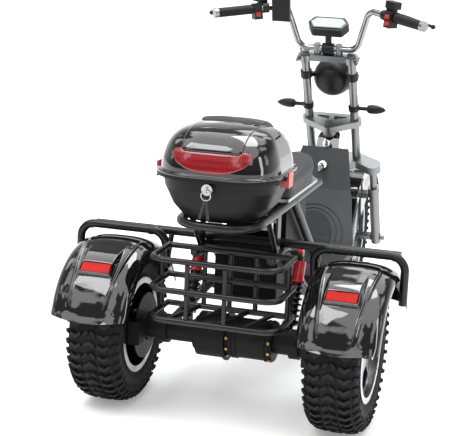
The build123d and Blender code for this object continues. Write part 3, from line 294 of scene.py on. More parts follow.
LOOK = {
    "frame_black": coated("frame_black", (0.0035, 0.0035, 0.0038), (0.0070, 0.0070, 0.0075), 0.34, 260.0, 0.00005,
                          Coat_Weight=0.12, Coat_Roughness=0.15, Specular_IOR_Level=0.35),
    "gloss_black": coated("gloss_black", (0.0030, 0.0030, 0.0033), (0.0055, 0.0055, 0.0060), 0.06, 60.0, 0.00003,
                          Coat_Weight=1.0, Coat_Roughness=0.01),
    "satin_black": coated("satin_black", (0.0040, 0.0040, 0.0042), (0.0080, 0.0080, 0.0084), 0.42, 420.0, 0.00005,
                          Specular_IOR_Level=0.30),
    "machine_black": coated("machine_black", (0.0025, 0.0025, 0.0027), (0.0080, 0.0078, 0.0074), 0.55, 160.0, 0.00012,
                            Specular_IOR_Level=0.20),
    "case_black": coated("case_black", (0.0035, 0.0035, 0.0037), (0.0060, 0.0060, 0.0062), 0.42, 620.0, 0.00004,
                         Specular_IOR_Level=0.20),
    "rubber_black": coated("rubber_black", (0.0055, 0.0055, 0.0058), (0.0105, 0.0105, 0.0105), 0.52, 420.0, 0.00006,
                           Specular_IOR_Level=0.25),
    "pad_rubber": coated("pad_rubber", (0.022, 0.023, 0.025), (0.040, 0.041, 0.044), 0.55, 480.0, 0.00008),
    "deck_grey": coated("deck_grey", (0.020, 0.022, 0.025), (0.031, 0.033, 0.037), 0.50, 520.0, 0.00007,
                        Specular_IOR_Level=0.35),
    "mat_grey": coated("mat_grey", (0.008, 0.012, 0.015), (0.015, 0.021, 0.025), 0.55, 700.0, 0.00012,
                       Specular_IOR_Level=0.25),
    "red_plastic": coated("red_plastic", (0.36, 0.006, 0.004), (0.48, 0.012, 0.008), 0.30, 240.0, 0.00005,
                          Coat_Weight=0.25, Coat_Roughness=0.05),
    "reflector_red": coated("reflector_red", (0.36, 0.004, 0.003), (0.48, 0.008, 0.005), 0.34, 900.0, 0.00008,
                            Specular_IOR_Level=0.15),
    "screen": coated("screen", (0.30, 0.36, 0.39), (0.46, 0.52, 0.55), 0.12, 90.0, 0.00002,
                     Coat_Weight=1.0, Coat_Roughness=0.02),
    "fork_alloy": metal("fork_alloy", (0.20, 0.205, 0.21), (0.31, 0.315, 0.325), 0.36, (70.0, 700.0, 70.0)),
    "bar_steel": metal("bar_steel", (0.26, 0.26, 0.27), (0.38, 0.38, 0.39), 0.16, (30.0, 900.0, 900.0)),
    "bright_steel": metal("bright_steel", (0.26, 0.26, 0.27), (0.40, 0.40, 0.41), 0.26, (400.0, 400.0, 60.0)),
    "dark_steel": metal("dark_steel", (0.012, 0.012, 0.013), (0.035, 0.035, 0.036), 0.46, (300.0, 300.0, 300.0)),
    "pan_grey": metal("pan_grey", (0.36, 0.37, 0.39), (0.50, 0.51, 0.53), 0.38, (60.0, 60.0, 600.0)),
    "brass": metal("brass", (0.42, 0.27, 0.10), (0.58, 0.40, 0.17), 0.34, (400.0, 400.0, 400.0)),
    "seat_leather": leather("seat_leather", (0.018, 0.018, 0.020), (0.029, 0.030, 0.032)),
    "red_lens": lens_plastic("red_lens", (0.11, 0.002, 0.005), (0.36, 0.010, 0.018), 0.0052),
    "clear_lens": lens_plastic("clear_lens", (0.52, 0.54, 0.56), (0.80, 0.81, 0.82), 0.0060),
    "shock": in_heights("shock", [(0.374, 0.431), (0.449, 0.462)], (0.42, 0.008, 0.014), (0.006, 0.006, 0.0065), 0.24, False),
    "lock": in_heights("lock", [(0.677, 0.730)], (0.42, 0.42, 0.43), (0.012, 0.012, 0.012), 0.22, True),
    "rear_tyre": tyre_rubber("rear_tyre", REAR_RIGHT, 0.219, 0.009),
    "front_tyre": tyre_rubber("front_tyre", FRONT, 0.234, 0.006),
    "rear_rim": cast_wheel("rear_rim", REAR_RIGHT, 0.050, 0.070),
    "front_rim": cast_wheel("front_rim", FRONT, 0.050, 0.070),
}

# Nodes whose look isn't their material slot's.
SPECIAL = {
    **dict.fromkeys(("axle_housing", "drive_motor", "swing_arms", "rear_calipers", "battery_box"), "machine_black"),
    **dict.fromkeys(("headlight", "dash", "phone_holder", "brake_levers", "bar_switches"), "satin_black"),
    **dict.fromkeys(("rear_disc_left", "rear_disc_right"), "dark_steel"),
    **dict.fromkeys(("rear_tyre_left", "rear_tyre_right"), "rear_tyre"),
    **dict.fromkeys(("rear_rim_left", "rear_rim_right"), "rear_rim"),
    "reflectors": "reflector_red", "rear_shocks": "shock", "case_lock": "lock",
    "front_tyre": "front_tyre", "front_rim": "front_rim",
}
slots = {part["node"]: part["material_slot"] for part in frame["record"]["subparts"]}
for node, piece in frame["nodes"].items():
    look = LOOK[SPECIAL.get(node, slots[node])]
    piece.data.materials.clear()
    piece.data.materials.append(look)


# ---------------------------------------------------------------- mesh tools
def mesh_piece(name, points, faces, look, body, smooth=True):
    """A piece from points and faces, finished with a look and riding on a body."""
    data = bpy.data.meshes.new(name)
    data.from_pydata([tuple(p) for p in points], [], [tuple(int(i) for i in f) for f in faces])
    data.validate()
    if smooth:
        data.polygons.foreach_set("use_smooth", [True] * len(data.polygons))
    piece = bpy.data.objects.new(name, data)
    piece.data.materials.append(LOOK[look])
    bpy.context.scene.collection.objects.link(piece)
    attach(piece, body)
    return piece


def eased(value, start, end):
    """0 before start, 1 past end, and a smooth rise between them."""
    share = min(1.0, max(0.0, (value - start) / (end - start)))
    return share * share * (3 - 2 * share)


def smooth_by_angle(piece, degrees):
    """Outward faces, with edges sharper than the angle kept crisp."""
    mesh = bmesh.new()
    mesh.from_mesh(piece.data)
    bmesh.ops.recalc_face_normals(mesh, faces=mesh.faces)
    for edge in mesh.edges:
        edge.smooth = len(edge.link_faces) == 2 and edge.calc_face_angle(0.0) < math.radians(degrees)
    mesh.to_mesh(piece.data)
    mesh.free()


def grid_faces(rows, columns, closed_rows=False, closed_columns=False):
    """Quads of a grid whose points are numbered row by row."""
    i = np.arange(rows if closed_rows else rows - 1)[:, None]
    j = np.arange(columns if closed_columns else columns - 1)[None, :]
    i2, j2 = (i + 1) % rows, (j + 1) % columns
    return np.stack([i * columns + j, i * columns + j2, i2 * columns + j2, i2 * columns + j], -1).reshape(-1, 4)


def smooth_rows(table, count):
    """Rows of numbers on a smooth curve through the table's rows, evenly spaced by index."""
    table = np.array(table, float)
    t = np.linspace(0, len(table) - 1, count)
    i = np.clip(t.astype(int), 0, len(table) - 2)
    f = (t - i)[:, None]
    padded = np.vstack([2 * table[0] - table[1], table, 2 * table[-1] - table[-2]])
    a, b, c, d = (padded[i + k] for k in range(4))
    return 0.5 * (2 * b + (c - a) * f + (2 * a - 5 * b + 4 * c - d) * f ** 2 + (3 * b - a - 3 * c + d) * f ** 3)


def rounded_ring(half, back_y, front_y, corner, count):
    """count points round a rectangle with rounded corners, in millimetres, starting in the middle of its back."""
    corner = min(corner, half - 0.5, (front_y - back_y) / 2 - 0.5)
    run, deep = half - corner, front_y - back_y - 2 * corner
    turn = corner * math.pi / 2
    total = 4 * run + 2 * deep + 4 * turn
    points = []
    for k in range(count):
        s = total * k / count
        side, s = (1, s) if s < total / 2 else (-1, total - s)
        if s < run:
            x, y = s, back_y
        elif s < run + turn:
            a = (s - run) / corner
            x, y = run + corner * math.sin(a), back_y + corner - corner * math.cos(a)
        elif s < run + turn + deep:
            x, y = half, back_y + corner + s - run - turn
        elif s < run + 2 * turn + deep:
            a = (s - run - turn - deep) / corner
            x, y = run + corner * math.cos(a), front_y - corner + corner * math.sin(a)
        else:
            x, y = run - (s - run - 2 * turn - deep), front_y
        points.append((side * x, y))
    return points


def capped_faces(rows, columns):
    """Faces of a closed tube of rows rings with columns points each, with both ends filled."""
    ends = [tuple(reversed(range(columns))), tuple(range((rows - 1) * columns, rows * columns))]
    return [tuple(f) for f in grid_faces(rows, columns, closed_columns=True)] + ends


def rings_piece(name, plans, count, look, body):
    """A closed skin through rounded plans (z, half, back, front, corner), with its ends filled."""
    points = []
    for z, half, back_y, front_y, corner in plans:
        points += [at(x, y, z) for x, y in rounded_ring(half, back_y, front_y, corner, count)]
    return mesh_piece(name, points, capped_faces(len(plans), count), look, body)


def tube(name, places, radius_mm, look, body, sides=10, order=3):
    """A round wire or hose along a smooth line through its places."""
    curve = bpy.data.curves.new(name, "CURVE")
    curve.dimensions = "3D"
    curve.bevel_depth, curve.bevel_resolution, curve.use_fill_caps = radius_mm / 1000, sides // 4, True
    curve.resolution_u = 6
    line = curve.splines.new("NURBS")
    line.points.add(len(places) - 1)
    for point, place in zip(line.points, places):
        point.co = (*place, 1)
    line.order_u, line.use_endpoint_u = order, True
    piece = bpy.data.objects.new(name, curve)
    curve.materials.append(LOOK[look])
    bpy.context.scene.collection.objects.link(piece)
    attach(piece, body)
    return piece


# ---------------------------------------------------------------- floor
g = material("floor")
shown = sum(g.node("LightPath", out=k) for k in (0, 3, 6)).math("MINIMUM", 1.0)
g.surface(bump=(g.noise(3.0), 0.0005), Roughness=0.8,
          Base_Color=g.mix(g.noise(0.6), (0.84, 0.84, 0.84), (0.88, 0.88, 0.88)),
          Emission_Color=(1, 1, 1, 1), Emission_Strength=shown * 0.26)
data = bpy.data.meshes.new("floor")
data.from_pydata([(-25, -25, 0), (25, -25, 0), (25, 25, 0), (-25, 25, 0)], [], [(0, 1, 2, 3)])
data.materials.append(g.owner)
floor = bpy.data.objects.new("floor", data)
bpy.context.scene.collection.objects.link(floor)


# ---------------------------------------------------------------- top case lid
# A domed lid over a flange with rounded edges. Its plans run from the flange's foot to the crown,
# and the lens and the pad are laid on the same skin.
LID_FLANGE = [(729.5, 173.5, -267.5, 89.5, 119.5), (730.2, 175.6, -269.6, 91.6, 121.6), (736.2, 176, -270, 92, 122),
              (737.4, 174.6, -268.6, 90.6, 120.6), (737.6, 169, -264, 86, 117)]
LID_SKIN = [(738.6, 166, -261, 84.4, 116), (752, 165, -260.5, 83.6, 116), (768, 162.5, -258, 80.5, 114),
            (784, 158.5, -253.5, 75.5, 112.5), (798, 154, -248, 70, 110), (812, 148, -240, 62, 107.5),
            (825, 139.5, -228, 50, 103), (836, 128, -212.5, 35.5, 97), (844, 114, -194, 17, 88), (850, 96, -170, -8, 76),
            (854, 72, -140, -38, 50), (856, 44, -118, -62, 27), (856.6, 14, -100, -80, 9)]
LID_CORE = (-20, 782)   # y and z of the line inside the lid from which its panel and pad are cast outwards
lid_skin = [tuple(row) for row in smooth_rows(LID_SKIN, 73)]
lid = rings_piece("lid_shell", [*LID_FLANGE, *lid_skin], 176, "gloss_black", "lid")
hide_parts("case_lid")

mesh = bmesh.new()
mesh.from_mesh(lid.data)
lid_tree = BVHTree.FromBMesh(mesh)
mesh.free()


def over_lid(origin, direction, lift_mm):
    """The point lift_mm above the lid's skin, where a ray from inside leaves it."""
    place, normal, _, _ = lid_tree.ray_cast(origin, direction.normalized(), 2.0)
    if normal.dot(direction) < 0:
        normal = -normal
    return place + normal * lift_mm / 1000


# ---------------------------------------------------------------- lid lens
# One wide lens across the back of the lid, with a curved lower edge and pointed ends. It stands a
# little proud and rolls over to the skin at its edge.
LENS_HALF = 109.0


def lens_edges(x):
    """Lower and upper edge heights of the lens at x. Its upper corners rise outside the lid's creases."""
    x = abs(x)
    low, high = 744 + 27 * (x / 100) ** 2.4, 797.5 + 6 * eased(x, 74, 86)
    centre, close = (low + high) / 2, math.sqrt(max(0.0, 1 - (max(0.0, x - 89) / (LENS_HALF - 88.8)) ** 2))
    return centre - (centre - low) * close, centre + (high - centre) * close


def lens_skin(lift, inset):
    points = []
    for t in np.linspace(-math.pi / 2, math.pi / 2, 65):
        x = (LENS_HALF - inset) * math.sin(t)
        low, high = lens_edges(x)
        low, high = low + inset * 0.8, high - inset * 0.8
        for z in np.linspace(low, max(high, low + 0.4), 15):
            points.append(over_lid(at(x, -140, z), Vector((0, -1, 0)), lift))
    return points


rows, columns = 65, 15
layers = [(-1.5, 0.0), (0.4, 0.0), (2.0, 0.8), (2.8, 2.4)]
points = [p for lift, inset in layers for p in lens_skin(lift, inset)]
size = rows * columns
border = [j for j in range(columns)] + [i * columns + columns - 1 for i in range(1, rows)] + \
         [(rows - 1) * columns + j for j in range(columns - 2, -1, -1)] + [i * columns for i in range(rows - 2, 0, -1)]
faces = [tuple(f + (len(layers) - 1) * size) for f in grid_faces(rows, columns)]
for layer in range(len(layers) - 1):
    for a, b in zip(border, border[1:] + border[:1]):
        faces.append((a + layer * size, b + layer * size, b + (layer + 1) * size, a + (layer + 1) * size))
lens_piece = mesh_piece("lid_lens_red", points, faces, "red_lens", "lid")
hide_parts("lid_lens")


# ---------------------------------------------------------------- lid panel
# A raised centre panel between the lens and the pad. Its sides are the two creases that run up the lid.
def sheet_piece(name, outer, inner, rows, columns, look, body):
    """A closed piece between two skins of rows by columns points."""
    size = rows * columns
    faces = [tuple(f) for f in grid_faces(rows, columns)]
    faces += [tuple(reversed(f + size)) for f in grid_faces(rows, columns)]
    border = [*range(columns), *(i * columns + columns - 1 for i in range(1, rows)),
              *range(size - 2, size - columns - 1, -1), *(i * columns for i in range(rows - 2, 0, -1))]
    faces += [(a + size, b + size, b, a) for a, b in zip(border, border[1:] + border[:1])]
    return mesh_piece(name, list(outer) + list(inner), faces, look, body)


def rolled(distance, radius):
    """0 at an edge, rising in a quarter round to 1 at radius from it."""
    share = min(1.0, max(0.0, distance / radius))
    return math.sqrt(1 - (1 - share) ** 2)


rows, columns = 61, 61
outer, inner = [], []
for i, a in enumerate(np.linspace(math.radians(176), math.radians(112), rows)):
    half = 84 + 9 * i / (rows - 1)
    for j in range(columns):
        share = 2 * j / (columns - 1) - 1
        share = math.copysign(1 - (1 - abs(share)) ** 1.3, share)
        rise = 2.6 * rolled(half * (1 - abs(share)), 3.0) * rolled(i * 1.6, 3.0)
        origin, direction = at(half * share, *LID_CORE), Vector((0, math.cos(a), math.sin(a)))
        outer.append(over_lid(origin, direction, 0.05 + rise))
        inner.append(over_lid(origin, direction, -0.6))
panel = sheet_piece("lid_panel", outer, inner, rows, columns, "gloss_black", "lid")


# ---------------------------------------------------------------- lid pad
# A soft pad over the lid's top and front, crowned, with its edges rolled down to the skin.
PAD_HALF, PAD_LOFT = 93.0, 11.0
PAD_FROM, PAD_TO, PAD_END = (math.radians(a) for a in (122, -1, 9))
rows, columns = 57, 45
outer, inner = [], []
for a in np.linspace(PAD_FROM, PAD_TO, rows):
    for x in np.linspace(-PAD_HALF, PAD_HALF, columns):
        edge = min(1.0, (1 - abs(x) / PAD_HALF) * PAD_HALF / 15)
        end = min(1.0, min(PAD_FROM - a, a - PAD_TO) / PAD_END)
        loft = PAD_LOFT * math.sqrt(max(0.0, 1 - (1 - edge) ** 2)) * math.sqrt(max(0.0, 1 - (1 - end) ** 2))
        origin = at(x * (1 - 0.03 * (1 - end)), *LID_CORE)
        direction = Vector((0, math.cos(a), math.sin(a)))
        outer.append(over_lid(origin, direction, 0.4 + loft))
        inner.append(over_lid(origin, direction, 0.3))
pad = sheet_piece("lid_back_pad", outer, inner, rows, columns, "pad_rubber", "lid")
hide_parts("lid_pad")


# ---------------------------------------------------------------- saddle
# A crowned cushion: sides that pull in below a stitched seam, a dished middle and a narrower nose.
SEAT_PLAN = [(0, 106), (66, 106), (112, 108), (130, 128), (132, 190), (131, 300), (127, 380), (112, 450), (90, 520),
             (72, 552), (40, 560), (0, 560)]
SEAT_MIDDLE_Y, SEAT_HALF_WIDTH, SEAT_HALF_LENGTH, SEAT_RIM_Z = 333, 132, 227, 681.5
# how far the outline grows (less than 0: shrinks) at each height, from the foot to the rim of the top
SEAT_LEVELS = [(-9, 618.6), (-4, 621), (-2.5, 628), (-3.5, 640), (-2.0, 652), (0.0, 660), (-0.6, 664), (-2.2, 669),
               (-8, 675), (-18, 679), (-32, SEAT_RIM_Z)]
LEVELS, TOP_RINGS = 31, 12


def seat_plan(grow, z):
    """The saddle's outline at a height, from the middle of its back round to it again."""
    right_side = smooth_rows(SEAT_PLAN, 56)
    ring = []
    for x, y in [*right_side, *[(-x, y) for x, y in right_side[-2:0:-1]]]:
        stretched = SEAT_MIDDLE_Y + (y - SEAT_MIDDLE_Y) * (1 + grow / SEAT_HALF_LENGTH)
        ring.append((x * (1 + grow / SEAT_HALF_WIDTH), stretched, z))
    return ring


points = [at(*p) for grow, z in smooth_rows(SEAT_LEVELS, LEVELS) for p in seat_plan(grow, z)]
inner = seat_plan(SEAT_LEVELS[-1][0], 0)
count = len(inner)
for step in range(1, TOP_RINGS):
    share = 1 - step / TOP_RINGS
    for x, y, _ in inner:
        px, py = x * share, SEAT_MIDDLE_Y + (y - SEAT_MIDDLE_Y) * (0.1 + 0.9 * share)
        dish = (2.2 - 5.0 * math.exp(-((py - 250) / 90) ** 2)) * (1 - share ** 2)
        points.append(at(px, py, SEAT_RIM_Z + dish))
faces = capped_faces(LEVELS + TOP_RINGS - 1, count)
seat = mesh_piece("saddle_cushion", points, faces, "seat_leather", "saddle")
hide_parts("seat_cushion")


# ---------------------------------------------------------------- shock springs
# Coiled springs between the seats of the two rear shocks.
SHOCK_LOW, SHOCK_TOP = Vector((155, 72, 238)), Vector((155, 178, 446))
COIL_TURNS, COIL_STEPS, COIL_RADIUS, COIL_START, COIL_REST = 6.5, 14, 19.6, 33.5, 125.2
line = (SHOCK_TOP - SHOCK_LOW).normalized()
coil_length = (SHOCK_TOP - SHOCK_LOW).length - COIL_REST
across = Vector((1, 0, 0))
side = line.cross(across).normalized()
for sign, word in ((-1, "left"), (1, "right")):
    places = []
    for k in range(int(COIL_TURNS * COIL_STEPS) + 1):
        a = 2 * math.pi * k / COIL_STEPS
        centre = SHOCK_LOW + line * (COIL_START + coil_length * k / (COIL_TURNS * COIL_STEPS))
        p = centre + COIL_RADIUS * (math.cos(a) * across + math.sin(a) * side)
        places.append(at(sign * p.x, p.y, p.z))
    coil = tube(f"shock_coil_{word}", places, 3.6, "frame_black", "chassis", sides=12)
    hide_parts("shock_springs")


# ---------------------------------------------------------------- rear fenders
# Arches with round shoulders, a hood that ends in the reflector's frame, two ridges down the back
# and a lip that flares a little and bows down in its middle.
FENDER_MID, FENDER_TOP_R, FENDER_WALL = (10.0, 226.0), 254.0, 3.6
FENDER_FROM, FENDER_CROWN, FENDER_TO = 24.0, 96.0, 164.0
FENDER_HALF, FENDER_MIDDLE, FENDER_DROP = 116.0, 354.0, 42.0
REFLECTOR_X, REFLECTOR_DEG = 352.0, 130.0


def fender_section(inside):
    """Profile across the fender as (x, radius): a flattish crown with full round shoulders."""
    half, foot = FENDER_HALF - inside, FENDER_TOP_R - FENDER_DROP
    shares = [math.sin(t) * 0.35 + t / (math.pi / 2) * 0.65 for t in np.linspace(-math.pi / 2, math.pi / 2, 151)]
    drop = FENDER_DROP - inside
    return [(FENDER_MIDDLE + half * share, foot + drop * max(0.0, 1 - abs(share) ** 2.7) ** 0.46) for share in shares]


def fender_lift(x, degrees):
    """Height over the plain arch: the hood with its pocket, the valleys beside it, the ridges and the flared lip."""
    u = abs(x - REFLECTOR_X)
    mm = (degrees - REFLECTOR_DEG) * math.radians(FENDER_TOP_R)
    hood = eased(mm, -112, -17) * (1 - eased(u, 50 - 6 * eased(mm, -112, -30), 53)) * (1 - eased(mm, 20.5, 23))
    pocket = (1 - eased(u, 43.0, 44.4)) * eased(mm, -17.0, -15.8) * (1 - eased(mm, 15.8, 17.0))
    valley = 4.0 * eased(u, 51, 55) * (1 - eased(u, 55, 72)) * eased(mm, -100, -20) * (1 - eased(mm, 8, 60))
    ridge_u = 76 - 24 * eased(mm, -150, 150)
    ridge = 4.0 * math.exp(-((u - ridge_u) / 3.6) ** 2) * eased(mm, -190, -120) * (1 - eased(mm, 95, 125))
    fade = max(0.0, 1 - (abs(x - FENDER_MIDDLE) / FENDER_HALF) ** 8)
    flare = 6.0 * max(0.0, (degrees - 158.5) / 5.5) ** 1.6 * (0.2 + 0.8 * fade)
    return (13.0 * hood - 9.5 * pocket * hood - valley + ridge) * fade + flare


loop = fender_section(0) + fender_section(FENDER_WALL)[::-1]
angles = [*np.linspace(FENDER_FROM, FENDER_CROWN, 40)[:-1], *np.linspace(FENDER_CROWN, FENDER_TO, 136)]
for sign, word in ((-1, "left"), (1, "right")):
    points = []
    for degrees in angles:
        for x, r in loop:
            # the lip hangs lowest in its middle
            bow = (3.4 * (1 - ((x - FENDER_MIDDLE) / FENDER_HALF) ** 2) - 1.0) * eased(degrees, 136, FENDER_TO)
            a = math.radians(degrees + bow)
            r += fender_lift(x, degrees)
            points.append(at(sign * x, FENDER_MID[0] + r * math.cos(a), FENDER_MID[1] + r * math.sin(a)))
    faces = capped_faces(len(angles), len(loop))
    faces = faces if sign < 0 else [f[::-1] for f in faces]
    arch = mesh_piece(f"fender_{word}", points, faces, "gloss_black", "chassis")
    smooth_by_angle(arch, 50)
    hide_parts("rear_fenders")


# ---------------------------------------------------------------- tyres
# A smooth carcass with rows of moulded lugs: a chevron that is whole in one row and split in the next,
# a V on each side of it, and blocks over the shoulders and down the side walls.
def tyre_lugs(split):
    """Outlines of one row's lugs as (across, round) in millimetres over the skin, with their heights."""
    middle = [[(-17, -5), (0, 6), (17, -5), (17, -15), (0, -4), (-17, -15)]]
    if split:
        middle = [[(-18, -7), (-4, 4), (-4, -6.5), (-18, -17)], [(4, 4), (18, -7), (18, -17), (4, -6.5)]]
    lugs = [(shape, 1.0) for shape in middle]
    for side in (-1, 1):
        vee = [(25, -3), (41, -14), (56, -3), (56, -13), (41, -24.5), (25, -13.5)]
        block = [(63, -2), (82, -2), (82, -14), (63, -14)]
        wall = [(88, -3), (103, -4.5), (103, -12), (88, -13.5)] if split else [(88, 1), (98, -1), (98, -14), (88, -16)]
        for shape, height in ((vee, 1.0), (block, 0.9), (wall, 0.3)):
            lugs.append(([(side * a, b) for a, b in shape], height))
    return lugs


def tyre(name, node, centre, radius, lug, bead, pairs, look, body, width=148, rim_half=62.8):
    """A tyre of that radius over its lugs. pairs is how many pairs of lug rows go round it."""
    crown, half = radius - lug, width / 2
    high = crown - bead
    wall = [(rim_half, bead + 0.6), (rim_half + 1.5, bead + high * 0.147), (half - 10, bead + high * 0.245),
            (half - 4, bead + high * 0.386), (half - 0.5, bead + high * 0.543), (half, bead + high * 0.67),
            (half - 2.5, bead + high * 0.79), (half - 9, bead + high * 0.886), (half - 20, bead + high * 0.946),
            (half - 40, crown - 1.4), (half - 60, crown - 0.2), (0, crown)]
    right_side = smooth_rows(wall, 45)
    profile = np.vstack([right_side, (right_side[-2::-1]) * (-1, 1)])
    reach = np.concatenate([[0], np.cumsum(np.hypot(*np.diff(right_side, axis=0).T))])
    reach = reach[-1] - reach
    middle_mm = (centre.x * 1000, (centre.y - AXLE_Y) * 1000, centre.z * 1000)

    def spot(x, r, turn):
        return at(middle_mm[0] + x, middle_mm[1] + r * math.cos(turn), middle_mm[2] + r * math.sin(turn))

    def on_skin(across, height):
        """Sideways place and radius at an arc length from the crown, raised by height along the skin's normal."""
        arc = min(abs(across), reach[0] - 2.5)
        (x, x2), (r, r2) = (np.interp([arc, arc + 2], reach[::-1], right_side[::-1, k]) for k in (0, 1))
        along = math.hypot(x2 - x, r2 - r)
        return math.copysign(x + (r - r2) / along * height, across), r + (x2 - x) / along * height

    turns = 144
    points = [spot(x, r, 2 * math.pi * t / turns) for t in range(turns) for x, r in profile]
    faces = [tuple(f) for f in grid_faces(turns, len(profile), closed_rows=True, closed_columns=True)]
    for row in range(2 * pairs):
        for outline, share in tyre_lugs(row % 2):
            mid = np.mean(outline, axis=0)
            start, n = len(points), len(outline)
            for height, inset in ((-2.0, -0.6), (lug * share - 2.2, 0.2), (lug * share - 0.5, 1.0), (lug * share, 2.2)):
                for corner in outline:
                    away = math.dist(corner, mid)
                    across, along = mid + (np.array(corner) - mid) * (1 - inset / away)
                    # the rows' chevrons point up where the tyre is seen from behind
                    points.append(spot(*on_skin(across, height), math.pi * row / pairs - along / crown))
            for level in range(3):
                for i in range(n):
                    a, b = start + level * n + i, start + level * n + (i + 1) % n
                    faces.append((a, b, b + n, a + n))
            faces.append(tuple(range(start + 3 * n, start + 4 * n)))
    piece = mesh_piece(name, points, faces, look, body)
    smooth_by_angle(piece, 42)
    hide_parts(node)


tyre("knobby_left", "rear_tyre_left", REAR_LEFT, 228, 9, 127, 22, "rear_tyre", "rear_wheel_left")
tyre("knobby_right", "rear_tyre_right", REAR_RIGHT, 228, 9, 127, 22, "rear_tyre", "rear_wheel_right")
tyre("knobby_front", "front_tyre", FRONT, 240, 6, 152, 24, "front_tyre", "front_wheel")


# ---------------------------------------------------------------- wheel shade dishes
# A dished black back behind each rear wheel's spokes: a dark sheet that stands in for the shade seen through the spoke
# windows.
SHADE_DISH_PROFILE = [(33, 36), (36, 36), (38, 70), (32, 112), (30, 118), (27, 118), (29, 110), (34, 70)]


def turned_piece(name, centre, axis_x, profile, look, body, count=72):
    """A closed ring turned about a wheel's axle from (offset, radius) points in millimetres."""
    points, x_mm, y_mm, z_mm = [], centre.x * 1000, (centre.y - AXLE_Y) * 1000, centre.z * 1000
    for t in range(count):
        a = 2 * math.pi * t / count
        points += [at(x_mm + axis_x * x, y_mm + r * math.cos(a), z_mm + r * math.sin(a)) for x, r in profile]
    piece = mesh_piece(name, points, grid_faces(count, len(profile), closed_rows=True, closed_columns=True), look, body)
    smooth_by_angle(piece, 35)
    return piece


# painted shade: a dark dish that keeps light from showing through the spokes
for sign, centre, word in ((-1, REAR_LEFT, "left"), (1, REAR_RIGHT, "right")):
    shade_dish = turned_piece(f"wheel_shade_dish_{word}", centre, sign, SHADE_DISH_PROFILE, "machine_black", f"rear_wheel_{word}")


# ---------------------------------------------------------------- controller box and bolts
# The black box behind the basket, and brass bolts on the two flanges that face the camera: the
# axle's middle one and the motor's end ring.
def block(name, low, high, bevel_mm, look, body, slot):
    """A box with rolled edges, between two corners in millimetres."""
    mesh = bmesh.new()
    bmesh.ops.create_cube(mesh, size=1.0)
    middle_mm, size = (Vector(low) + Vector(high)) / 2, Vector(high) - Vector(low)
    for vertex in mesh.verts:
        vertex.co = at(*(middle_mm[k] + vertex.co[k] * size[k] for k in range(3)))
    bmesh.ops.bevel(mesh, geom=mesh.edges[:], offset=bevel_mm / 1000, segments=4, profile=0.5, affect="EDGES")
    data = bpy.data.meshes.new(name)
    mesh.to_mesh(data)
    mesh.free()
    data.materials.append(LOOK[look])
    piece = bpy.data.objects.new(name, data)
    bpy.context.scene.collection.objects.link(piece)
    smooth_by_angle(piece, 35)
    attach(piece, body)
    return piece


block("controller_box", (-95, 130, 300), (95, 226, 474), 6, "machine_black", "chassis", "rubber_black")


def studs(name, places, radius_mm, deep_mm, look, body, sides=6):
    """Bolt heads as one piece: hexagons facing along each place's normal."""
    points, faces = [], []
    for place, facing in places:
        turn = Vector(facing).to_track_quat("Z", "Y")
        start = len(points)
        for lift, r in ((-0.5, radius_mm), (deep_mm - 0.8, radius_mm), (deep_mm, radius_mm * 0.86)):
            for k in range(sides):
                a = 2 * math.pi * k / sides
                points.append(at(*place) + turn @ Vector((r * math.cos(a), r * math.sin(a), lift)) / 1000)
        faces += [tuple(int(i) + start for i in f) for f in grid_faces(3, sides, closed_columns=True)]
        faces += [tuple(range(start + 2 * sides, start + 3 * sides)), tuple(reversed(range(start, start + sides)))]
    piece = mesh_piece(name, points, faces, look, body, smooth=False)
    return piece


FLANGE_X, FLANGE_Z, BOLT_CIRCLE = (6, 129), 228, 60
ring_bolts = [((x, -BOLT_CIRCLE * math.cos(a) * 0.98, FLANGE_Z + BOLT_CIRCLE * math.sin(a)), (0, -math.cos(a), math.sin(a)))
              for x in FLANGE_X for a in np.radians((-50, -20, 10, 40))]
studs("flange_bolts", ring_bolts, 5.0, 3.4, "brass", "chassis")


# ---------------------------------------------------------------- indicators
# Rounded leaves on short stalks, each on a clamp round its fork tube, which leans back.
LEAF = [(196, 0.5, 0.5), (193, 4, 3.5), (186, 8.5, 7.5), (176, 12.5, 10.5), (162, 15.5, 13.5), (148, 16, 14.5),
        (137, 14.8, 13.5), (131, 11, 11), (128, 7, 7), (96, 7, 7)]
LEAF_Y, LEAF_Z, LEAF_ROWS, LEAF_SIDES = 1142.6, 745.0, 37, 28
FORK_TUBE_X, FORK_LEAN = 82, Vector((0, -0.4493, 0.8934))
for sign, word in ((-1, "left"), (1, "right")):
    points = []
    for x, high, deep in smooth_rows(LEAF, LEAF_ROWS):
        for k in range(LEAF_SIDES):
            a = 2 * math.pi * k / LEAF_SIDES
            points.append(at(sign * x, LEAF_Y + deep * math.cos(a), LEAF_Z + high * math.sin(a)))
    leaf = mesh_piece(f"indicator_{word}", points, capped_faces(LEAF_ROWS, LEAF_SIDES), "satin_black", "steering")
    smooth_by_angle(leaf, 50)
    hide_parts("turn_signals")
    places = [at(sign * FORK_TUBE_X, LEAF_Y, LEAF_Z) + FORK_LEAN * k / 1000 for k in (-8, 8)]
    clamp = tube(f"indicator_clamp_{word}", places, 19.5, "satin_black", "steering", sides=16, order=2)
    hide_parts("turn_signals")


# ---------------------------------------------------------------- foot mat
# An arched slab on the deck and up its slope, inside two raised arches.
DECK_LINE = [(630.0, 302.0), (876.0, 302.0), (916.0, 318.0), (1032.0, 470.0)]
MAT_SECTION = [(-1, -1), (-1, 3.2), (-0.98, 4.2), (-0.4, 4.4), (0.4, 4.4), (0.98, 4.2), (1, 3.2), (1, -1)]
MAT_HALF, ARCH_FROM, ARCH_TO = 74.0, 300.0, 392.0


def on_deck(x, along, lift):
    """The place that many millimetres along the deck's line from the mat's back, lifted off the surface."""
    for (y0, z0), (y1, z1) in zip(DECK_LINE, DECK_LINE[1:]):
        length = math.hypot(y1 - y0, z1 - z0)
        if along <= length or y1 == DECK_LINE[-1][0]:
            c, d = (y1 - y0) / length, (z1 - z0) / length
            return at(x, y0 + c * along - d * lift, z0 + d * along + c * lift)
        along -= length


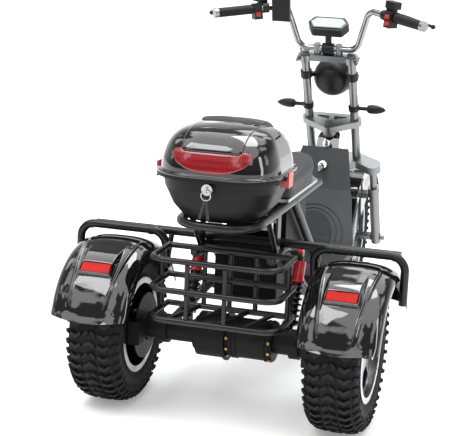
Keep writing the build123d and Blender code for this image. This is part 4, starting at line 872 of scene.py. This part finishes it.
arch_rows = ARCH_FROM + (ARCH_TO - ARCH_FROM) * np.sin(np.radians(np.linspace(4, 86, 24)))
rows = [2.0, 4.0, 8.0, *np.linspace(16, ARCH_FROM, 30), *arch_rows]
points = []
for along in rows:
    arched = math.sqrt(max(0.0, 1 - max(0.0, (along - ARCH_FROM) / (ARCH_TO - ARCH_FROM)) ** 2))
    half = MAT_HALF * arched - max(0.0, 8 - along)
    points += [on_deck(x * half, along, lift) for x, lift in MAT_SECTION]
foot_mat = mesh_piece("foot_mat", points, capped_faces(len(rows), len(MAT_SECTION)), "mat_grey", "chassis")
smooth_by_angle(foot_mat, 40)
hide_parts("deck_mats")
for number, gap in enumerate((17.0, 38.0)):
    half, reach = MAT_HALF + gap, ARCH_TO - ARCH_FROM + gap * 0.7
    turns = np.linspace(0.06, math.pi - 0.06, 40)
    places = [on_deck(half, along, 0.6) for along in np.linspace(14, ARCH_FROM, 26)]
    places += [on_deck(half * math.cos(a), ARCH_FROM + reach * math.sin(a), 0.6) for a in turns]
    places += [on_deck(-half, along, 0.6) for along in np.linspace(ARCH_FROM, 14, 26)]
    arch_rib = tube(f"deck_arch_{number}", places, 2.4, "deck_grey", "chassis", sides=12)


# ---------------------------------------------------------------- front fender
# Deep sides and a back over the narrower CAD fender. The sides end on a straight line that climbs
# from the back edge to the front.
SKIRT_RADIUS, SKIRT_SHOULDER, SKIRT_DEEPEST = 267.0, -18, -70
SKIRT = [(0, 0), (40, -0.6), (70, -3.5), (88, -9), (100, -18), (107, -30), (110.5, -46), (112, -70)]
section = SKIRT[::-1] + [(-x, r) for x, r in SKIRT[1:]]
ring = smooth_rows(section, 61)
inner = [(x * 0.974, r - 2.6 if abs(x) < 100 else r) for x, r in ring[::-1]]
points, turns = [], np.linspace(2, 140, 70)
for degrees in turns:
    a = math.radians(degrees)
    edge = min(246.0, 176.4 / max(0.1, math.sin(a) + 0.6375 * math.cos(a)))
    for x, r in [*ring, *inner]:
        radius = SKIRT_RADIUS + r
        if r <= SKIRT_SHOULDER:
            side_from = SKIRT_RADIUS + SKIRT_SHOULDER
            radius = side_from - (SKIRT_SHOULDER - r) / (SKIRT_SHOULDER - SKIRT_DEEPEST) * (side_from - edge)
        points.append(at(x, (FRONT.y - AXLE_Y) * 1000 - radius * math.cos(a), FRONT.z * 1000 + radius * math.sin(a)))
faces = capped_faces(len(turns), len(ring) + len(inner))
skirt = mesh_piece("front_fender_skirt", points, faces, "gloss_black", "steering")
smooth_by_angle(skirt, 40)


# ---------------------------------------------------------------- display and buttons
# The display's pale blank screen in its bezel, on the tilted face of the dash, and the red buttons
# of the switch pods.
DASH_FACE = (0, 1030.2, 1040.2)
tilt = Matrix.Rotation(math.radians(35), 3, "X")


def on_dash(x, y, lift):
    return at(*DASH_FACE) + tilt @ Vector((x, y, lift)) / 1000


SCREEN = [(-60, 4), (-44, 24), (44, 24), (60, 4), (46, -22), (-46, -22)]
BEZEL = [(x * 1.10, y * 1.18) for x, y in SCREEN]
for name, shape, low, top, look, slot in (("dash_bezel", BEZEL, 3.5, 6.2, "gloss_black", "rubber_black"),
                                          ("dash_screen", SCREEN, 3.8, 7.0, "screen", "clear_lens")):
    ring = [(x * k, y * k, z) for k, z in ((1, low), (1, top - 0.8), (0.975, top)) for x, y in shape]
    piece = mesh_piece(name, [on_dash(*p) for p in ring], capped_faces(3, len(shape)), look, "steering", smooth=False)

BUTTON_Y, BUTTON_HALF = 928.5, (8, 4, 7)
for name, x, z in (("button_left", -219.5, 1066), ("button_right_high", 219.5, 1086), ("button_right_low", 219.5, 1064)):
    low, high = ([c + way * h for c, h in zip((x, BUTTON_Y, z), BUTTON_HALF)] for way in (-1, 1))
    block(name, low, high, 2, "red_plastic", "steering", "red_plastic")
